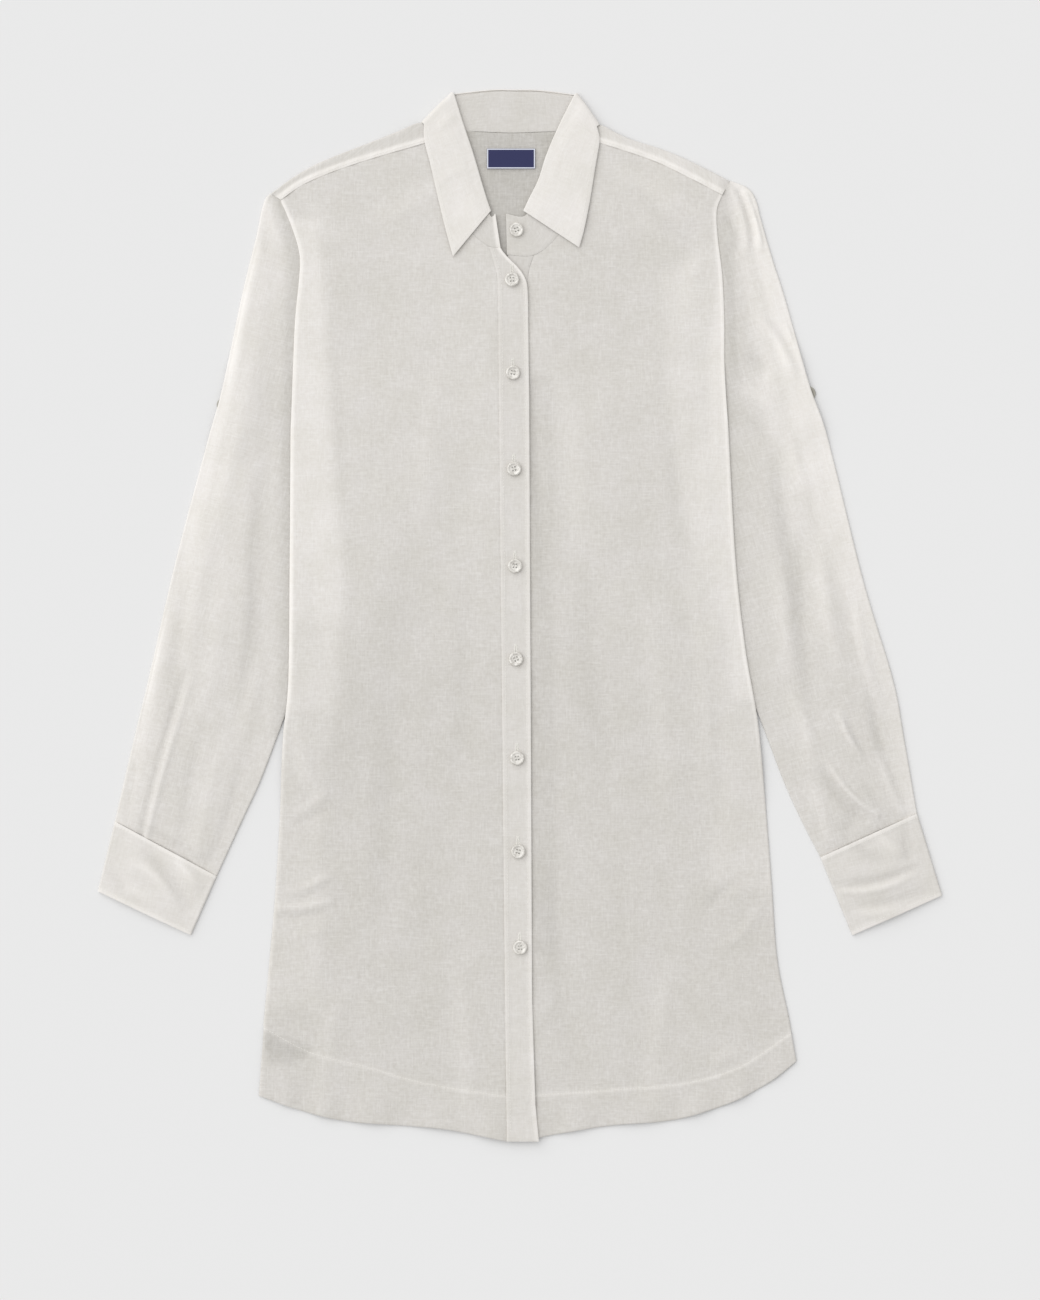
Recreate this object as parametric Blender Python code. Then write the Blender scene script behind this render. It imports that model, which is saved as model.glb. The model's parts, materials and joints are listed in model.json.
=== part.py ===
"""Linen shirt dress lying flat on its back.

The neck points to +Y, the front faces up (+Z) and the back rests on Z = 0.
Right and left are the wearer's, so the right half lies at negative X.
Every panel is a wall of cloth worked out from its cut lines, in millimetres.
"""
from math import cos, exp, pi, sin

import bmesh
import bpy
from mathutils import Vector

MM = 0.001
ORIGIN_SHIFT = (1.4, -0.175)

# Cloth
CLOTH = 1.0
SEAM_GAP = 0.3
LAYER = CLOTH + SEAM_GAP
BAND = 1.4
HEM_EXTRA = 0.4

# Buttons
BUTTON_RADIUS = 6.3
BUTTON_HEIGHT = 2.6
BUTTON_RIM = 1.3
BUTTON_DISH = 0.7
BUTTON_DISH_SLOPE = 0.8
BUTTON_EDGE = 0.5
BUTTON_BACK_BEVEL = 0.7
TAB_BUTTON_HEIGHT = 2.0
BUTTON_SIDES = 18
WELD = 0.01

# How far each layer is lifted over what lies under it, and how softly
SLEEVE_STACK = 2 * LAYER
TUCK_CLEAR = 32.0
TUCK_RAMP = 62.0
COLLAR_CLEAR = 12.0
COLLAR_RAMP = 45.0
LAP_WIDTH = 8.0
LAP_SLACK = 2.4
LAP_START = 0.14
LAP_CLEAR = 30.0
LAP_RAMP = 50.0
PLACKET_RISE = 1.7
PLACKET_RAMP = 60.0
BODY_AIR = 0.9
BODY_AIR_RAMP = 60.0
SLEEVE_AIR = 1.1
SLEEVE_AIR_START = 16.0
SLEEVE_AIR_RAMP = 30.0
CUFF_AIR = 0.5
LEAF_CLEAR = 0.4
LEAF_AIR = 0.9
LEAF_RAMP = 14.0
HEM_LIFT_Y = -380.0
HEM_LIFT_RAMP = 35.0
TAB_CLEAR = 24.0
TAB_RAMP = 36.0

# Grids of the panels: cells across or round each one, rows down, and where the rows change
SHOULDER_CELLS = 6
NECK_CELLS = 5
YOKE_DEPTH_ROWS = 4
FOLD_CELLS = 4
CHEST_ROWS = 4
BODY_ROWS = 20
SLEEVE_CELLS = 9
SLEEVE_ROWS = 18
CUFF_ROWS = 2
PLACKET_CELLS = 3
UNDER_PLACKET_CELLS = 2
HEM_ROWS = 3
HEM_STEP = 0.06
ARMHOLE_CELLS = 60
LINE_CELLS = 200
SLEEVE_HEAD_SHARES = (0.0, 0.05, 0.12, 0.23, 0.35, 0.48, 0.61, 0.74, 0.87, 1.0)
CHEST_Y = 284.0
BACK_SEAM_Y = 318.0
NECK_SHARE = 0.66
CORNER_CLEAR = 2.0
SLEEVE_TOP_CLEAR = 4.0

# Cut lines (x, y), from the neck or shoulder downwards
ARMHOLE = {
    "right": [(-224.6, 380.2), (-216.5, 372.2), (-205.7, 347), (-199.5, 324), (-200, 302), (-203.5, 266),
              (-205.5, 221), (-207.5, 167)],
    "left": [(186.8, 391.1), (180.5, 378.4), (175.3, 363), (176.5, 338), (180.3, 306), (182.2, 266),
             (182.5, 221), (185.8, 167)],
}
SIDE = {
    "right": [(-207.5, 167), (-208.3, 50), (-209.5, -58), (-214.5, -112), (-217.3, -184), (-221.8, -256),
              (-228.2, -328), (-234.5, -395), (-236.2, -432)],
    "left": [(185.8, 167), (192.2, 50), (201.2, -31), (212, -94), (218.2, -157), (224.6, -238),
             (230, -310), (240.8, -364), (247, -401)],
}
SLEEVE_OUTER = {
    "right": [(-226.6, 379.6), (-234, 376), (-237.8, 366), (-237.6, 342), (-244, 318), (-252.5, 284),
              (-269.6, 203), (-282.2, 158), (-311, 50), (-335, -54), (-349, -112), (-365.9, -185)],
    "left": [(188.3, 391), (202, 383), (211, 370), (215.6, 354), (226, 320), (237.5, 284),
             (259, 207.5), (276, 158), (307.4, 32), (334.4, -58), (344.5, -112), (355.9, -177.8)],
}
SLEEVE_INNER = {
    "right": [(-120, 152), (-154, 63), (-181, -9), (-214.7, -96), (-234.5, -148), (-251, -184),
              (-274.1, -234.5)],
    "left": [(111, 152), (147, 68), (183, -18), (214.7, -94), (235.3, -148), (251.6, -184), (268.7, -217.3)],
}
CUFF_END = {
    "right": ((-381.2, -248), (-297.4, -287.6)),
    "left": ((378.4, -251.6), (297.4, -287.6)),
}
YOKE_SEAM = {
    "right": [(-216.5, 373.9), (-193, 389.2), (-149, 406.4), (-78.8, 427.1)],
    "left": [(180.5, 378.4), (149, 394.7), (116.5, 409.9), (67, 426.2)],
}
SHOULDER = {
    "right": [(-224.6, 380.2), (-203, 395.6), (-177.8, 409.1), (-127.4, 427.9), (-81.5, 438.4)],
    "left": [(186.8, 391.1), (149, 409.9), (124.7, 419.9), (99.5, 427.9), (65.2, 437.4)],
}
HEM = {
    "right": [(-236.2, -432), (-199, -445), (-159, -454.5), (-109, -458.6), (-73, -461.5), (-42, -467),
              (-13.1, -472.9)],
    "left": [(247, -401), (225.5, -418), (197, -434), (170, -444.5), (134, -454), (80, -458.6), (35, -465.8),
             (11.2, -470.2)],
}
HEM_STITCH = {
    "right": [(-230, -371), (-190, -393), (-138, -406.4), (-86, -421), (-14.5, -432.4)],
    "left": [(238, -388), (195.8, -406.4), (147, -420.8), (88, -426.2), (8.6, -431.6)],
}
HEM_STITCH_EDGE = {"right": (-231.8, -371), "left": (242.5, -376)}

# Seam of each front with its centre strip, and the strips' widths: y, width. The placket's top
# edge falls by its slant towards the free side.
CENTRE_SEAM = {
    "right": [(-29.6, 332), (-24.8, 317.2), (-22.1, 306.4), (-21.2, 297.4), (-20.2, 194), (-17.5, -76),
              (-14.8, -346), (-13.1, -472.9)],
    "left": [(10.7, 324), (5.3, 297), (3.7, 194), (4.9, -76), (6.3, -346), (11.2, -470.2)],
}
PLACKET_WIDTH = [(331.0, 9.6), (317.2, 15.5), (306.4, 23.2), (297.4, 26.2), (194.0, 27.0), (-76.0, 25.7),
                 (-346.0, 24.3), (-440.0, 26.0), (-473.0, 28.7)]
UNDER_PLACKET_WIDTH = [(324.0, 23.0), (297.0, 17.5), (194.0, 17.0), (-473.0, 19.0)]
PLACKET_TOP_SLANT = 3.3

# Collar stations from the right front end round the back to the left front end:
# roll x, roll y, leaf edge x, leaf edge y, neck seam x, neck seam y
COLLAR_RIGHT = [
    (-27.4, 364.1, -61.6, 322.7, -29.6, 332.0),
    (-31.1, 374.9, -67.8, 345.2, -43.5, 343.0),
    (-36.5, 392.9, -74.8, 373.9, -59.0, 366.8),
    (-42.8, 414.4, -81.8, 404.6, -69.8, 391.5),
    (-51.8, 441.4, -87.5, 427.5, -76.8, 417.0),
    (-62.6, 472.1, -90.5, 445.1, -81.5, 438.8),
]
COLLAR_BACK = [
    (-28.4, 473.2, -39.1, 431.2, -35.6, 435.2),
    (-5.9, 473.4, -7.7, 430.6, -7.7, 434.2),
    (17.6, 472.8, 25.7, 431.2, 21.2, 435.2),
]
COLLAR_LEFT = [
    (50.9, 471.2, 72.5, 443.2, 65.2, 437.9),
    (33.8, 441.4, 70.0, 426.6, 63.4, 416.0),
    (22.1, 414.4, 66.2, 402.8, 57.0, 390.5),
    (14.8, 391.9, 61.6, 373.9, 47.2, 366.8),
    (5.9, 373.9, 56.2, 346.9, 30.0, 338.5),
    (1.4, 364.1, 51.8, 330.8, 10.7, 324.0),
]
STAND_END = {"right": ((-20.2, 361.4), (-20.2, 329.4)), "left": ((-14.0, 361.4), (-13.1, 324.2))}
# Cells of the leaf below its rolled lip, of the lip, and of the stand, which starts below the roll
LEAF_CELLS = 4
LIP_CELLS = 3
STAND_CELLS = 2
STAND_DROP = 2.3
STAND_DROP_AT_TURN = 5.0

# Soft folds: start x, start y, end x, end y, half width, height; they keep a share of it at their ends
FOLD_END_SHARE = 0.35
BODY_FOLDS = [
    (-188, 330, -178, 60, 22, 0.9),
    (-120, 250, -138, -90, 30, 0.7),
    (-205, -215, -150, -262, 16, 0.9),
    (-95, -120, -120, -420, 32, 0.9),
    (150, 240, 172, -20, 24, 0.9),
    (176, -60, 205, -300, 26, 1.0),
    (70, 180, 92, -120, 30, 0.6),
    (60, -180, 82, -420, 34, 0.9),
]
SLEEVE_FOLDS = [
    (-250, 250, -285, 60, 20, 1.0),
    (-262, 20, -315, -150, 20, 1.0),
    (-303, -79, -338, -198, 12, 0.8),
    (232, 250, 268, 70, 20, 1.0),
    (262, 20, 298, -150, 20, 1.0),
    (276, -132, 320, -186, 12, 0.8),
]

BUTTONS = [(-8.6, 301.9), (-7.7, 218.2), (-6.8, 131.8), (-5.9, 44.6), (-5.0, -39.1), (-4.0, -128.2),
           (-3.1, -212.0), (-1.4, -298.4)]
COLLAR_BUTTON = (-4.5, 346.9)
TAB_BUTTONS = {"right": (-268.4, 189.5), "left": (257.2, 200.2)}
LABEL_CORNERS = ((-31.1, 401.9), (12.2, 419.9))
LABEL_THICKNESS = 1.0

LINEN = (0.69, 0.67, 0.62)
LINEN_LIGHT = (0.76, 0.74, 0.69)
PEARL = (0.74, 0.72, 0.68)
LABEL_BLUE = (0.03, 0.04, 0.08)


def clear_scene():
    """Remove the default objects."""
    for obj in list(bpy.data.objects):
        bpy.data.objects.remove(obj, do_unlink=True)


def finish(name, colour, roughness):
    """A plain material with the colour and roughness of the real surface."""
    material = bpy.data.materials.new(name)
    material.use_nodes = True
    shader = material.node_tree.nodes["Principled BSDF"]
    shader.inputs["Base Color"].default_value = (*colour, 1.0)
    shader.inputs["Roughness"].default_value = roughness
    shader.inputs["Metallic"].default_value = 0.0
    return material


def ease(share):
    """A soft step from 0 to 1."""
    share = min(max(share, 0.0), 1.0)
    return share * share * (3.0 - 2.0 * share)


def ramp(distance, clear, width):
    """1 up to a clear distance, then softly down to 0 over the width."""
    return ease(1.0 - (distance - clear) / width)


def vectors(points):
    return [Vector(point) for point in points]


def divided(cells):
    """Even shares from 0 to 1."""
    return [index / cells for index in range(cells + 1)]


def smooth(points, cells, stretch=12):
    """Evenly spaced points on a soft curve that passes through the given ones."""
    knots = vectors(points)
    knots = [2 * knots[0] - knots[1]] + knots + [2 * knots[-1] - knots[-2]]
    fine = []
    for before, start, end, after in zip(knots, knots[1:], knots[2:], knots[3:]):
        for step in range(stretch):
            t = step / stretch
            fine.append(0.5 * (2 * start + (end - before) * t
                               + (2 * before - 5 * start + 4 * end - after) * t ** 2
                               + (3 * start - before - 3 * end + after) * t ** 3))
    fine.append(knots[-2])
    return spread(fine, divided(cells))


def spread(line, shares):
    """Points at the given shares of a polyline's length."""
    lengths = [0.0]
    for start, end in zip(line, line[1:]):
        lengths.append(lengths[-1] + (end - start).length)
    found = []
    span = 0
    for share in shares:
        target = share * lengths[-1]
        while span < len(line) - 2 and lengths[span + 1] < target:
            span += 1
        reach = lengths[span + 1] - lengths[span]
        found.append(line[span].lerp(line[span + 1], (target - lengths[span]) / reach))
    return found


def patch(top, bottom, left, right):
    """Rows of points that fill four joined edges, from the top row down."""
    rows = len(left) - 1
    columns = len(top) - 1
    grid = []
    for j in range(rows + 1):
        v = j / rows
        row = []
        for i in range(columns + 1):
            u = i / columns
            sides = left[j].lerp(right[j], u)
            ends = top[i].lerp(bottom[i], v)
            corners = top[0].lerp(top[-1], u).lerp(bottom[0].lerp(bottom[-1], u), v)
            row.append(sides + ends - corners)
        grid.append(row)
    return grid


def line_distance(x, y, line):
    """Distance from a point to a polyline."""
    point = Vector((x, y))
    best = None
    for start, end in zip(line, line[1:]):
        along = end - start
        share = min(max((point - start).dot(along) / along.length_squared, 0.0), 1.0)
        distance = (point - start - share * along).length
        best = distance if best is None else min(best, distance)
    return best


def area_distance(x, y, outline):
    """Distance from a point to a closed outline, 0 inside it."""
    inside = False
    for start, end in zip(outline, outline[1:]):
        if (start.y > y) != (end.y > y):
            if x < start.x + (y - start.y) * (end.x - start.x) / (end.y - start.y):
                inside = not inside
    return 0.0 if inside else line_distance(x, y, outline)


def closed(points):
    """A polyline that ends where it starts."""
    return vectors(points) + [Vector(points[0])]


TUCKED = {side: closed([SIDE[side][0]] + SLEEVE_INNER[side][:4]) for side in ("right", "left")}
COLLAR_BACK_AREA = closed(
    [(row[0], row[1]) for row in (COLLAR_RIGHT[-1], COLLAR_LEFT[0])]
    + [(row[2], row[3]) for row in (COLLAR_LEFT[0], *reversed(COLLAR_BACK), COLLAR_RIGHT[-1])])
ARMHOLE_LINES = {side: vectors(ARMHOLE[side]) for side in ("right", "left")}


def bed(x, y):
    """Height of what lies on the floor under the back: tucked sleeves and the folded collar."""
    tuck = max(ramp(area_distance(x, y, area), TUCK_CLEAR, TUCK_RAMP) for area in TUCKED.values())
    collar = ramp(area_distance(x, y, COLLAR_BACK_AREA), COLLAR_CLEAR, COLLAR_RAMP)
    return max(SLEEVE_STACK * tuck, LAYER * collar)


def lap(x, y):
    """Lift of the fronts over the sleeve head that is sewn under their armhole edge."""
    distance = min(line_distance(x, y, line) for line in ARMHOLE_LINES.values())
    return LAYER * ramp(distance, LAP_CLEAR, LAP_RAMP)


def fold_height(x, y, folds):
    """Sum of the soft folds at a point."""
    total = 0.0
    for start_x, start_y, end_x, end_y, half_width, height in folds:
        start = Vector((start_x, start_y))
        along = Vector((end_x, end_y)) - start
        share = min(max((Vector((x, y)) - start).dot(along) / along.length_squared, 0.0), 1.0)
        distance = (Vector((x, y)) - start - share * along).length
        swell = FOLD_END_SHARE + (1 - FOLD_END_SHARE) * sin(pi * share)
        total += height * swell * exp(-(distance / half_width) ** 2)
    return total


def body_edge(y, side):
    """X of the body's outer edge at a height of the garment."""
    line = ARMHOLE[side] + SIDE[side][1:]
    for (start_x, start_y), (end_x, end_y) in zip(line, line[1:]):
        if y >= end_y:
            return start_x + (end_x - start_x) * min(max((start_y - y) / (start_y - end_y), 0.0), 1.0)
    return line[-1][0]


def air(x, y):
    """Loose height between the back and the fronts, none at the side seams."""
    inset = min(x - body_edge(y, "right"), body_edge(y, "left") - x)
    return (BODY_AIR + fold_height(x, y, BODY_FOLDS)) * ease(inset / BODY_AIR_RAMP)


def front_level(x, y):
    """Underside of the left front and of all that is level with it."""
    return LAYER + max(bed(x, y), lap(x, y)) + air(x, y)


def right_front_level(x, y):
    """Underside of the right front, which climbs onto the button stand at the centre."""
    centre = line_distance(x, y, vectors(CENTRE_SEAM["right"]))
    return front_level(x, y) + PLACKET_RISE * ramp(centre, 0.0, PLACKET_RAMP)


def place(point):
    """World position in metres of a point in the garment's millimetres."""
    x, y, z = point
    return Vector((x + ORIGIN_SHIFT[0], y + ORIGIN_SHIFT[1], z)) * MM


def cloth(name, over, under, material, closed_round=False, skip=None):
    """A wall between two grids of points: its upper or outer face and its lower or inner face."""
    mesh = bmesh.new()
    rows = len(over) - 1
    columns = len(over[0])
    cells = columns if closed_round else columns - 1
    skip = skip or set()
    used = [(j, i) for j in range(rows) for i in range(cells) if (j, i) not in skip]
    corners = {}

    def corner(layer, j, i):
        key = (layer, j, i % columns)
        if key not in corners:
            grid = over if layer == "over" else under
            corners[key] = mesh.verts.new(place(grid[j][i % columns]))
        return corners[key]

    for j, i in used:
        ring = [(j, i), (j + 1, i), (j + 1, i + 1), (j, i + 1)]
        mesh.faces.new([corner("over", *spot) for spot in ring])
        mesh.faces.new([corner("under", *spot) for spot in ring][::-1])
        beside = [(j, i - 1), (j + 1, i), (j, i + 1), (j - 1, i)]
        for index, neighbour in enumerate(beside):
            row, column = neighbour
            if closed_round:
                column %= cells
            if 0 <= row < rows and 0 <= column < cells and (row, column) not in skip:
                continue
            start, end = ring[index], ring[(index + 1) % 4]
            mesh.faces.new([corner("over", *end), corner("over", *start),
                            corner("under", *start), corner("under", *end)])
    bmesh.ops.triangulate(mesh, faces=mesh.faces[:], quad_method="FIXED")
    bmesh.ops.recalc_face_normals(mesh, faces=mesh.faces[:])
    return add_object(name, mesh, material)


def add_object(name, mesh, material):
    """An object at the origin from a finished mesh."""
    data = bpy.data.meshes.new(name)
    mesh.to_mesh(data)
    mesh.free()
    data.materials.append(material)
    obj = bpy.data.objects.new(name, data)
    bpy.context.scene.collection.objects.link(obj)
    return obj


def raised(grid, level, thickness=CLOTH, extra=None):
    """Upper and lower points of a wall whose underside follows a height.

    extra holds for each row what is added to its height and to its thickness.
    """
    over = []
    under = []
    for j, row in enumerate(grid):
        lift, swell = extra[j] if extra else (0.0, 0.0)
        heights = [level(p.x, p.y) + lift for p in row]
        under.append([(p.x, p.y, z) for p, z in zip(row, heights)])
        over.append([(p.x, p.y, z + swell + thickness) for p, z in zip(row, heights)])
    return over, under


def column_shares():
    """Shares across a half of the body, with one at the corner of shoulder and neck."""
    shoulder = [NECK_SHARE * share for share in divided(SHOULDER_CELLS)]
    neck = [NECK_SHARE + (1 - NECK_SHARE) * share for share in divided(NECK_CELLS)]
    return shoulder + neck[1:]


def body_plan(side):
    """Points of one half of the body below the chest, and of its hem band."""
    shares = column_shares()
    lower_armhole = [p for p in smooth(ARMHOLE[side], ARMHOLE_CELLS) if p.y <= CHEST_Y]
    side_line = lower_armhole + smooth(SIDE[side], LINE_CELLS)[1:]
    stitch_edge = Vector(HEM_STITCH_EDGE[side])
    long_side = [p for p in side_line if p.y > stitch_edge.y] + [stitch_edge]
    seam = smooth(CENTRE_SEAM[side], LINE_CELLS)
    stitch_centre = Vector(HEM_STITCH[side][-1])
    centre = [p for p in seam if stitch_centre.y < p.y <= CHEST_Y] + [stitch_centre]
    top = spread([long_side[0], centre[0]], shares)
    stitch = spread(smooth([stitch_edge] + HEM_STITCH[side][1:], LINE_CELLS), shares)
    hem = spread(smooth(HEM[side], LINE_CELLS), shares)
    rows = divided(BODY_ROWS)
    upper = patch(top, stitch, spread(long_side, rows), spread(centre, rows))
    band = [[p.lerp(q, share) for p, q in zip(stitch, hem)] for share in (HEM_STEP, 0.5, 1.0)]
    return upper, band


def neck_seam(side):
    """Points of a front's neck seam, the same ones that the collar stand is cut to."""
    stations = COLLAR_RIGHT[-2::-1] if side == "right" else COLLAR_LEFT[1:]
    return [Vector(YOKE_SEAM[side][-1])] + [Vector(row[4:6]) for row in stations]


def chest_plan(side, top_row):
    """Points of a front between its shoulder and neck seams and the chest line."""
    corner = Vector(YOKE_SEAM[side][0])
    armhole = [p for p in smooth(ARMHOLE[side], ARMHOLE_CELLS) if CHEST_Y < p.y < corner.y - CORNER_CLEAR]
    armhole = [corner] + armhole + [top_row[0]]
    centre = [p for p in smooth(CENTRE_SEAM[side], LINE_CELLS) if p.y > CHEST_Y] + [top_row[-1]]
    shoulder = smooth(YOKE_SEAM[side], SHOULDER_CELLS)
    top = [p - Vector((0, SEAM_GAP)) for p in shoulder + neck_seam(side)[1:]]
    rows = divided(CHEST_ROWS)
    left = [top[0]] + spread(armhole, rows)[1:]
    right = [top[-1]] + spread(centre, rows)[1:]
    return patch(top, top_row, left, right)[:-1]


def hem_rows(count, under_extra):
    """Extra height and thickness of each row: the doubled hem band adds to the last rows."""
    plain = [(0.0, 0.0)] * (count - HEM_ROWS)
    return plain + [(under_extra, HEM_EXTRA)] * HEM_ROWS


def make_front(side, level, linen):
    """A front panel from the yoke seam to the hem; returns its points along the centre seam."""
    middle, band = body_plan(side)
    grid = chest_plan(side, middle[0]) + middle + band
    over, under = raised(grid, level, extra=hem_rows(len(grid), HEM_EXTRA))
    cloth("front_" + side, over, under, linen)
    return [row[-1] for row in grid]


def armhole_inset(share):
    """How far the sleeve head reaches under the front at a share of the armhole."""
    return LAP_WIDTH * ease(share / LAP_START)


def inset_armhole(side, gap):
    """The armhole line moved into the body by the lap, plus a gap."""
    inward = 1.0 if side == "right" else -1.0
    moved = []
    for share, point in zip(divided(ARMHOLE_CELLS), smooth(ARMHOLE[side], ARMHOLE_CELLS)):
        move = armhole_inset(share) + gap
        moved.append(point + Vector((inward * move, 0)))
    return moved


def make_back(linen):
    """The back panel: both halves and the strip under the placket, seam to hem."""
    halves = {}
    for side in ("right", "left"):
        middle, band = body_plan(side)
        edge = inset_armhole(side, SEAM_GAP)
        for row in middle:
            if row[0].y > ARMHOLE[side][-1][1]:
                nearest = min(edge, key=lambda p: abs(p.y - row[0].y))
                row[0].x = nearest.x
        halves[side] = middle + band
    lower = [right + left[::-1] for right, left in zip(halves["right"], halves["left"])]
    edges = {}
    for side, low in (("right", lower[0][0]), ("left", lower[0][-1])):
        line = [p for p in inset_armhole(side, SEAM_GAP) if CHEST_Y < p.y < BACK_SEAM_Y]
        edges[side] = spread([line[0], low], divided(2))
    ends = [Vector((p.x, BACK_SEAM_Y - SEAM_GAP)) for p in (edges["right"][0], edges["left"][0])]
    edges["right"][0], edges["left"][0] = ends
    width = ends[1].x - ends[0].x
    first, last = lower[0][0].x, lower[0][-1].x
    top = [ends[0] + Vector((width * (p.x - first) / (last - first), 0)) for p in lower[0]]
    upper = patch(top, lower[0], edges["right"], edges["left"])[:-1]
    grid = upper + lower
    over, under = raised(grid, bed, extra=hem_rows(len(grid), 0.0))
    cloth("back", over, under, linen)


def make_yoke(linen):
    """One piece over both shoulders: back part, fold at the shoulder, front strips."""
    neck_back = [Vector(row[4:6]) for row in COLLAR_BACK]
    shoulder = {side: smooth(SHOULDER[side], SHOULDER_CELLS) for side in ("right", "left")}
    seam = {side: smooth(YOKE_SEAM[side], SHOULDER_CELLS) for side in ("right", "left")}
    crest = shoulder["right"] + neck_back + shoulder["left"][::-1]
    columns = len(crest)
    sides = {}
    for side in ("right", "left"):
        line = [p for p in inset_armhole(side, SEAM_GAP) if p.y > BACK_SEAM_Y]
        line.append(Vector((line[-1].x, BACK_SEAM_Y)))
        sides[side] = spread(line[::-1], divided(YOKE_DEPTH_ROWS))
    low_left, low_right = sides["right"][0], sides["left"][0]
    bottom = []
    for point in crest:
        share = (point.x - crest[0].x) / (crest[-1].x - crest[0].x)
        bottom.append(low_left.lerp(low_right, share))
    inner_crest = []
    fold = []
    for index, point in enumerate(crest):
        in_neck = SHOULDER_CELLS < index < columns - 1 - SHOULDER_CELLS
        low = bed(point.x, point.y)
        high = front_level(point.x, point.y) + CLOTH
        radius = 0.5 * (high - low)
        inner_crest.append(point - Vector((0, SEAM_GAP if in_neck else radius)))
        fold.append((low, radius))
    back = patch(bottom, inner_crest, sides["right"][:-1] + [inner_crest[0]],
                 sides["left"][:-1] + [inner_crest[-1]])
    outer = [[(p.x, p.y, bed(p.x, p.y)) for p in row] for row in back]
    inner = [[(p.x, p.y, bed(p.x, p.y) + CLOTH) for p in row] for row in back]
    for step in range(1, FOLD_CELLS):
        angle = pi * step / FOLD_CELLS
        outer_row = []
        inner_row = []
        for point, (low, radius) in zip(inner_crest, fold):
            middle = low + radius
            outer_row.append((point.x, point.y + radius * sin(angle), middle - radius * cos(angle)))
            small = radius - CLOTH
            inner_row.append((point.x, point.y + small * sin(angle), middle - small * cos(angle)))
        outer.append(outer_row)
        inner.append(inner_row)
    front = seam["right"] + neck_back + seam["left"][::-1]
    for share in divided(2):
        row = [top.lerp(low, share) for top, low in zip(inner_crest, front)]
        outer.append([(p.x, p.y, front_level(p.x, p.y) + CLOTH) for p in row])
        inner.append([(p.x, p.y, front_level(p.x, p.y)) for p in row])
    skip = set()
    for j in range(YOKE_DEPTH_ROWS, len(outer) - 1):
        for i in range(SHOULDER_CELLS, columns - 1 - SHOULDER_CELLS):
            skip.add((j, i))
    cloth("yoke", outer, inner, linen, skip=skip)


def tube(name, plan, base, air_height, thickness, material):
    """A flattened tube: plan rows run from its outer fold to its inner fold."""
    outer_rows = []
    inner_rows = []
    big = thickness + SEAM_GAP / 2
    small = SEAM_GAP / 2
    for row in plan:
        outer_in = (row[1] - row[0]).normalized()
        inner_in = (row[-2] - row[-1]).normalized()
        flat = [row[0] + outer_in * big] + row[1:-1] + [row[-1] + inner_in * big]
        outer_ring = []
        inner_ring = []
        for p in reversed(flat):
            outer_ring.append((p.x, p.y, base(p.x, p.y)))
            inner_ring.append((p.x, p.y, base(p.x, p.y) + thickness))
        add_turn(outer_ring, inner_ring, flat[0], outer_in, base(flat[0].x, flat[0].y), big, small, 1)
        for p in flat:
            height = base(p.x, p.y) + air_height(p.x, p.y, row)
            outer_ring.append((p.x, p.y, height + 2 * thickness + SEAM_GAP))
            inner_ring.append((p.x, p.y, height + thickness + SEAM_GAP))
        add_turn(outer_ring, inner_ring, flat[-1], inner_in, base(flat[-1].x, flat[-1].y), big, small, -1)
        outer_rows.append(outer_ring)
        inner_rows.append(inner_ring)
    cloth(name, outer_rows, inner_rows, material, closed_round=True)


def add_turn(outer_ring, inner_ring, centre, inward, base, big, small, direction):
    """Points round one fold of a tube, going up for 1 and down for -1."""
    for step in range(1, FOLD_CELLS):
        angle = direction * (pi * step / FOLD_CELLS - pi / 2)
        for ring, radius in ((outer_ring, big), (inner_ring, small)):
            out = centre - inward * radius * cos(angle)
            ring.append((out.x, out.y, base + big + radius * sin(angle)))


def sleeve_plan(side):
    """Points of a sleeve from its head to the cuff seam, outer fold to inner fold."""
    head = inset_armhole(side, -LAP_SLACK)
    outer = smooth(SLEEVE_OUTER[side], SLEEVE_ROWS)
    inner = smooth(SLEEVE_INNER[side], SLEEVE_ROWS)
    top_line = [outer[0]] + [p for p in head if p.y < outer[0].y - SLEEVE_TOP_CLEAR] + [inner[0]]
    cuff = spread([outer[-1], inner[-1]], divided(SLEEVE_CELLS))
    return patch(spread(top_line, SLEEVE_HEAD_SHARES), cuff, outer, inner)


def make_sleeve(side, linen):
    """One sleeve as a flattened tube, lifted over the tab button under its outer fold."""
    tab = Vector(TAB_BUTTONS[side])

    def base(x, y):
        return (TAB_BUTTON_HEIGHT + SEAM_GAP) * ramp((Vector((x, y)) - tab).length, TAB_CLEAR, TAB_RAMP)

    def air_height(x, y, row):
        beyond = body_edge(y, side) - x if side == "right" else x - body_edge(y, side)
        reach = min((Vector((x, y)) - end).length for end in (row[0], row[-1]))
        loose = SLEEVE_AIR + fold_height(x, y, SLEEVE_FOLDS)
        return loose * ease((beyond - SLEEVE_AIR_START) / SLEEVE_AIR_RAMP) * ease(reach / SLEEVE_AIR_RAMP)

    tube("sleeve_" + side, sleeve_plan(side), base, air_height, CLOTH, linen)


def make_cuff(side, linen):
    """The doubled band at the wrist, a flattened tube of thicker cloth."""
    outer_start = Vector(SLEEVE_OUTER[side][-1])
    inner_start = Vector(SLEEVE_INNER[side][-1])
    outer_end, inner_end = vectors(CUFF_END[side])
    along = (outer_end - outer_start).normalized() * SEAM_GAP
    top = spread([outer_start + along, inner_start + along], divided(SLEEVE_CELLS))
    bottom = spread([outer_end, inner_end], divided(SLEEVE_CELLS))
    plan = [[p.lerp(q, share) for p, q in zip(top, bottom)] for share in divided(CUFF_ROWS)]

    def air_height(x, y, row):
        reach = min((Vector((x, y)) - end).length for end in (row[0], row[-1]))
        return CUFF_AIR * ease(reach / SLEEVE_AIR_RAMP)

    tube("cuff_" + side, plan, lambda x, y: 0.0, air_height, BAND, linen)


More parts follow.
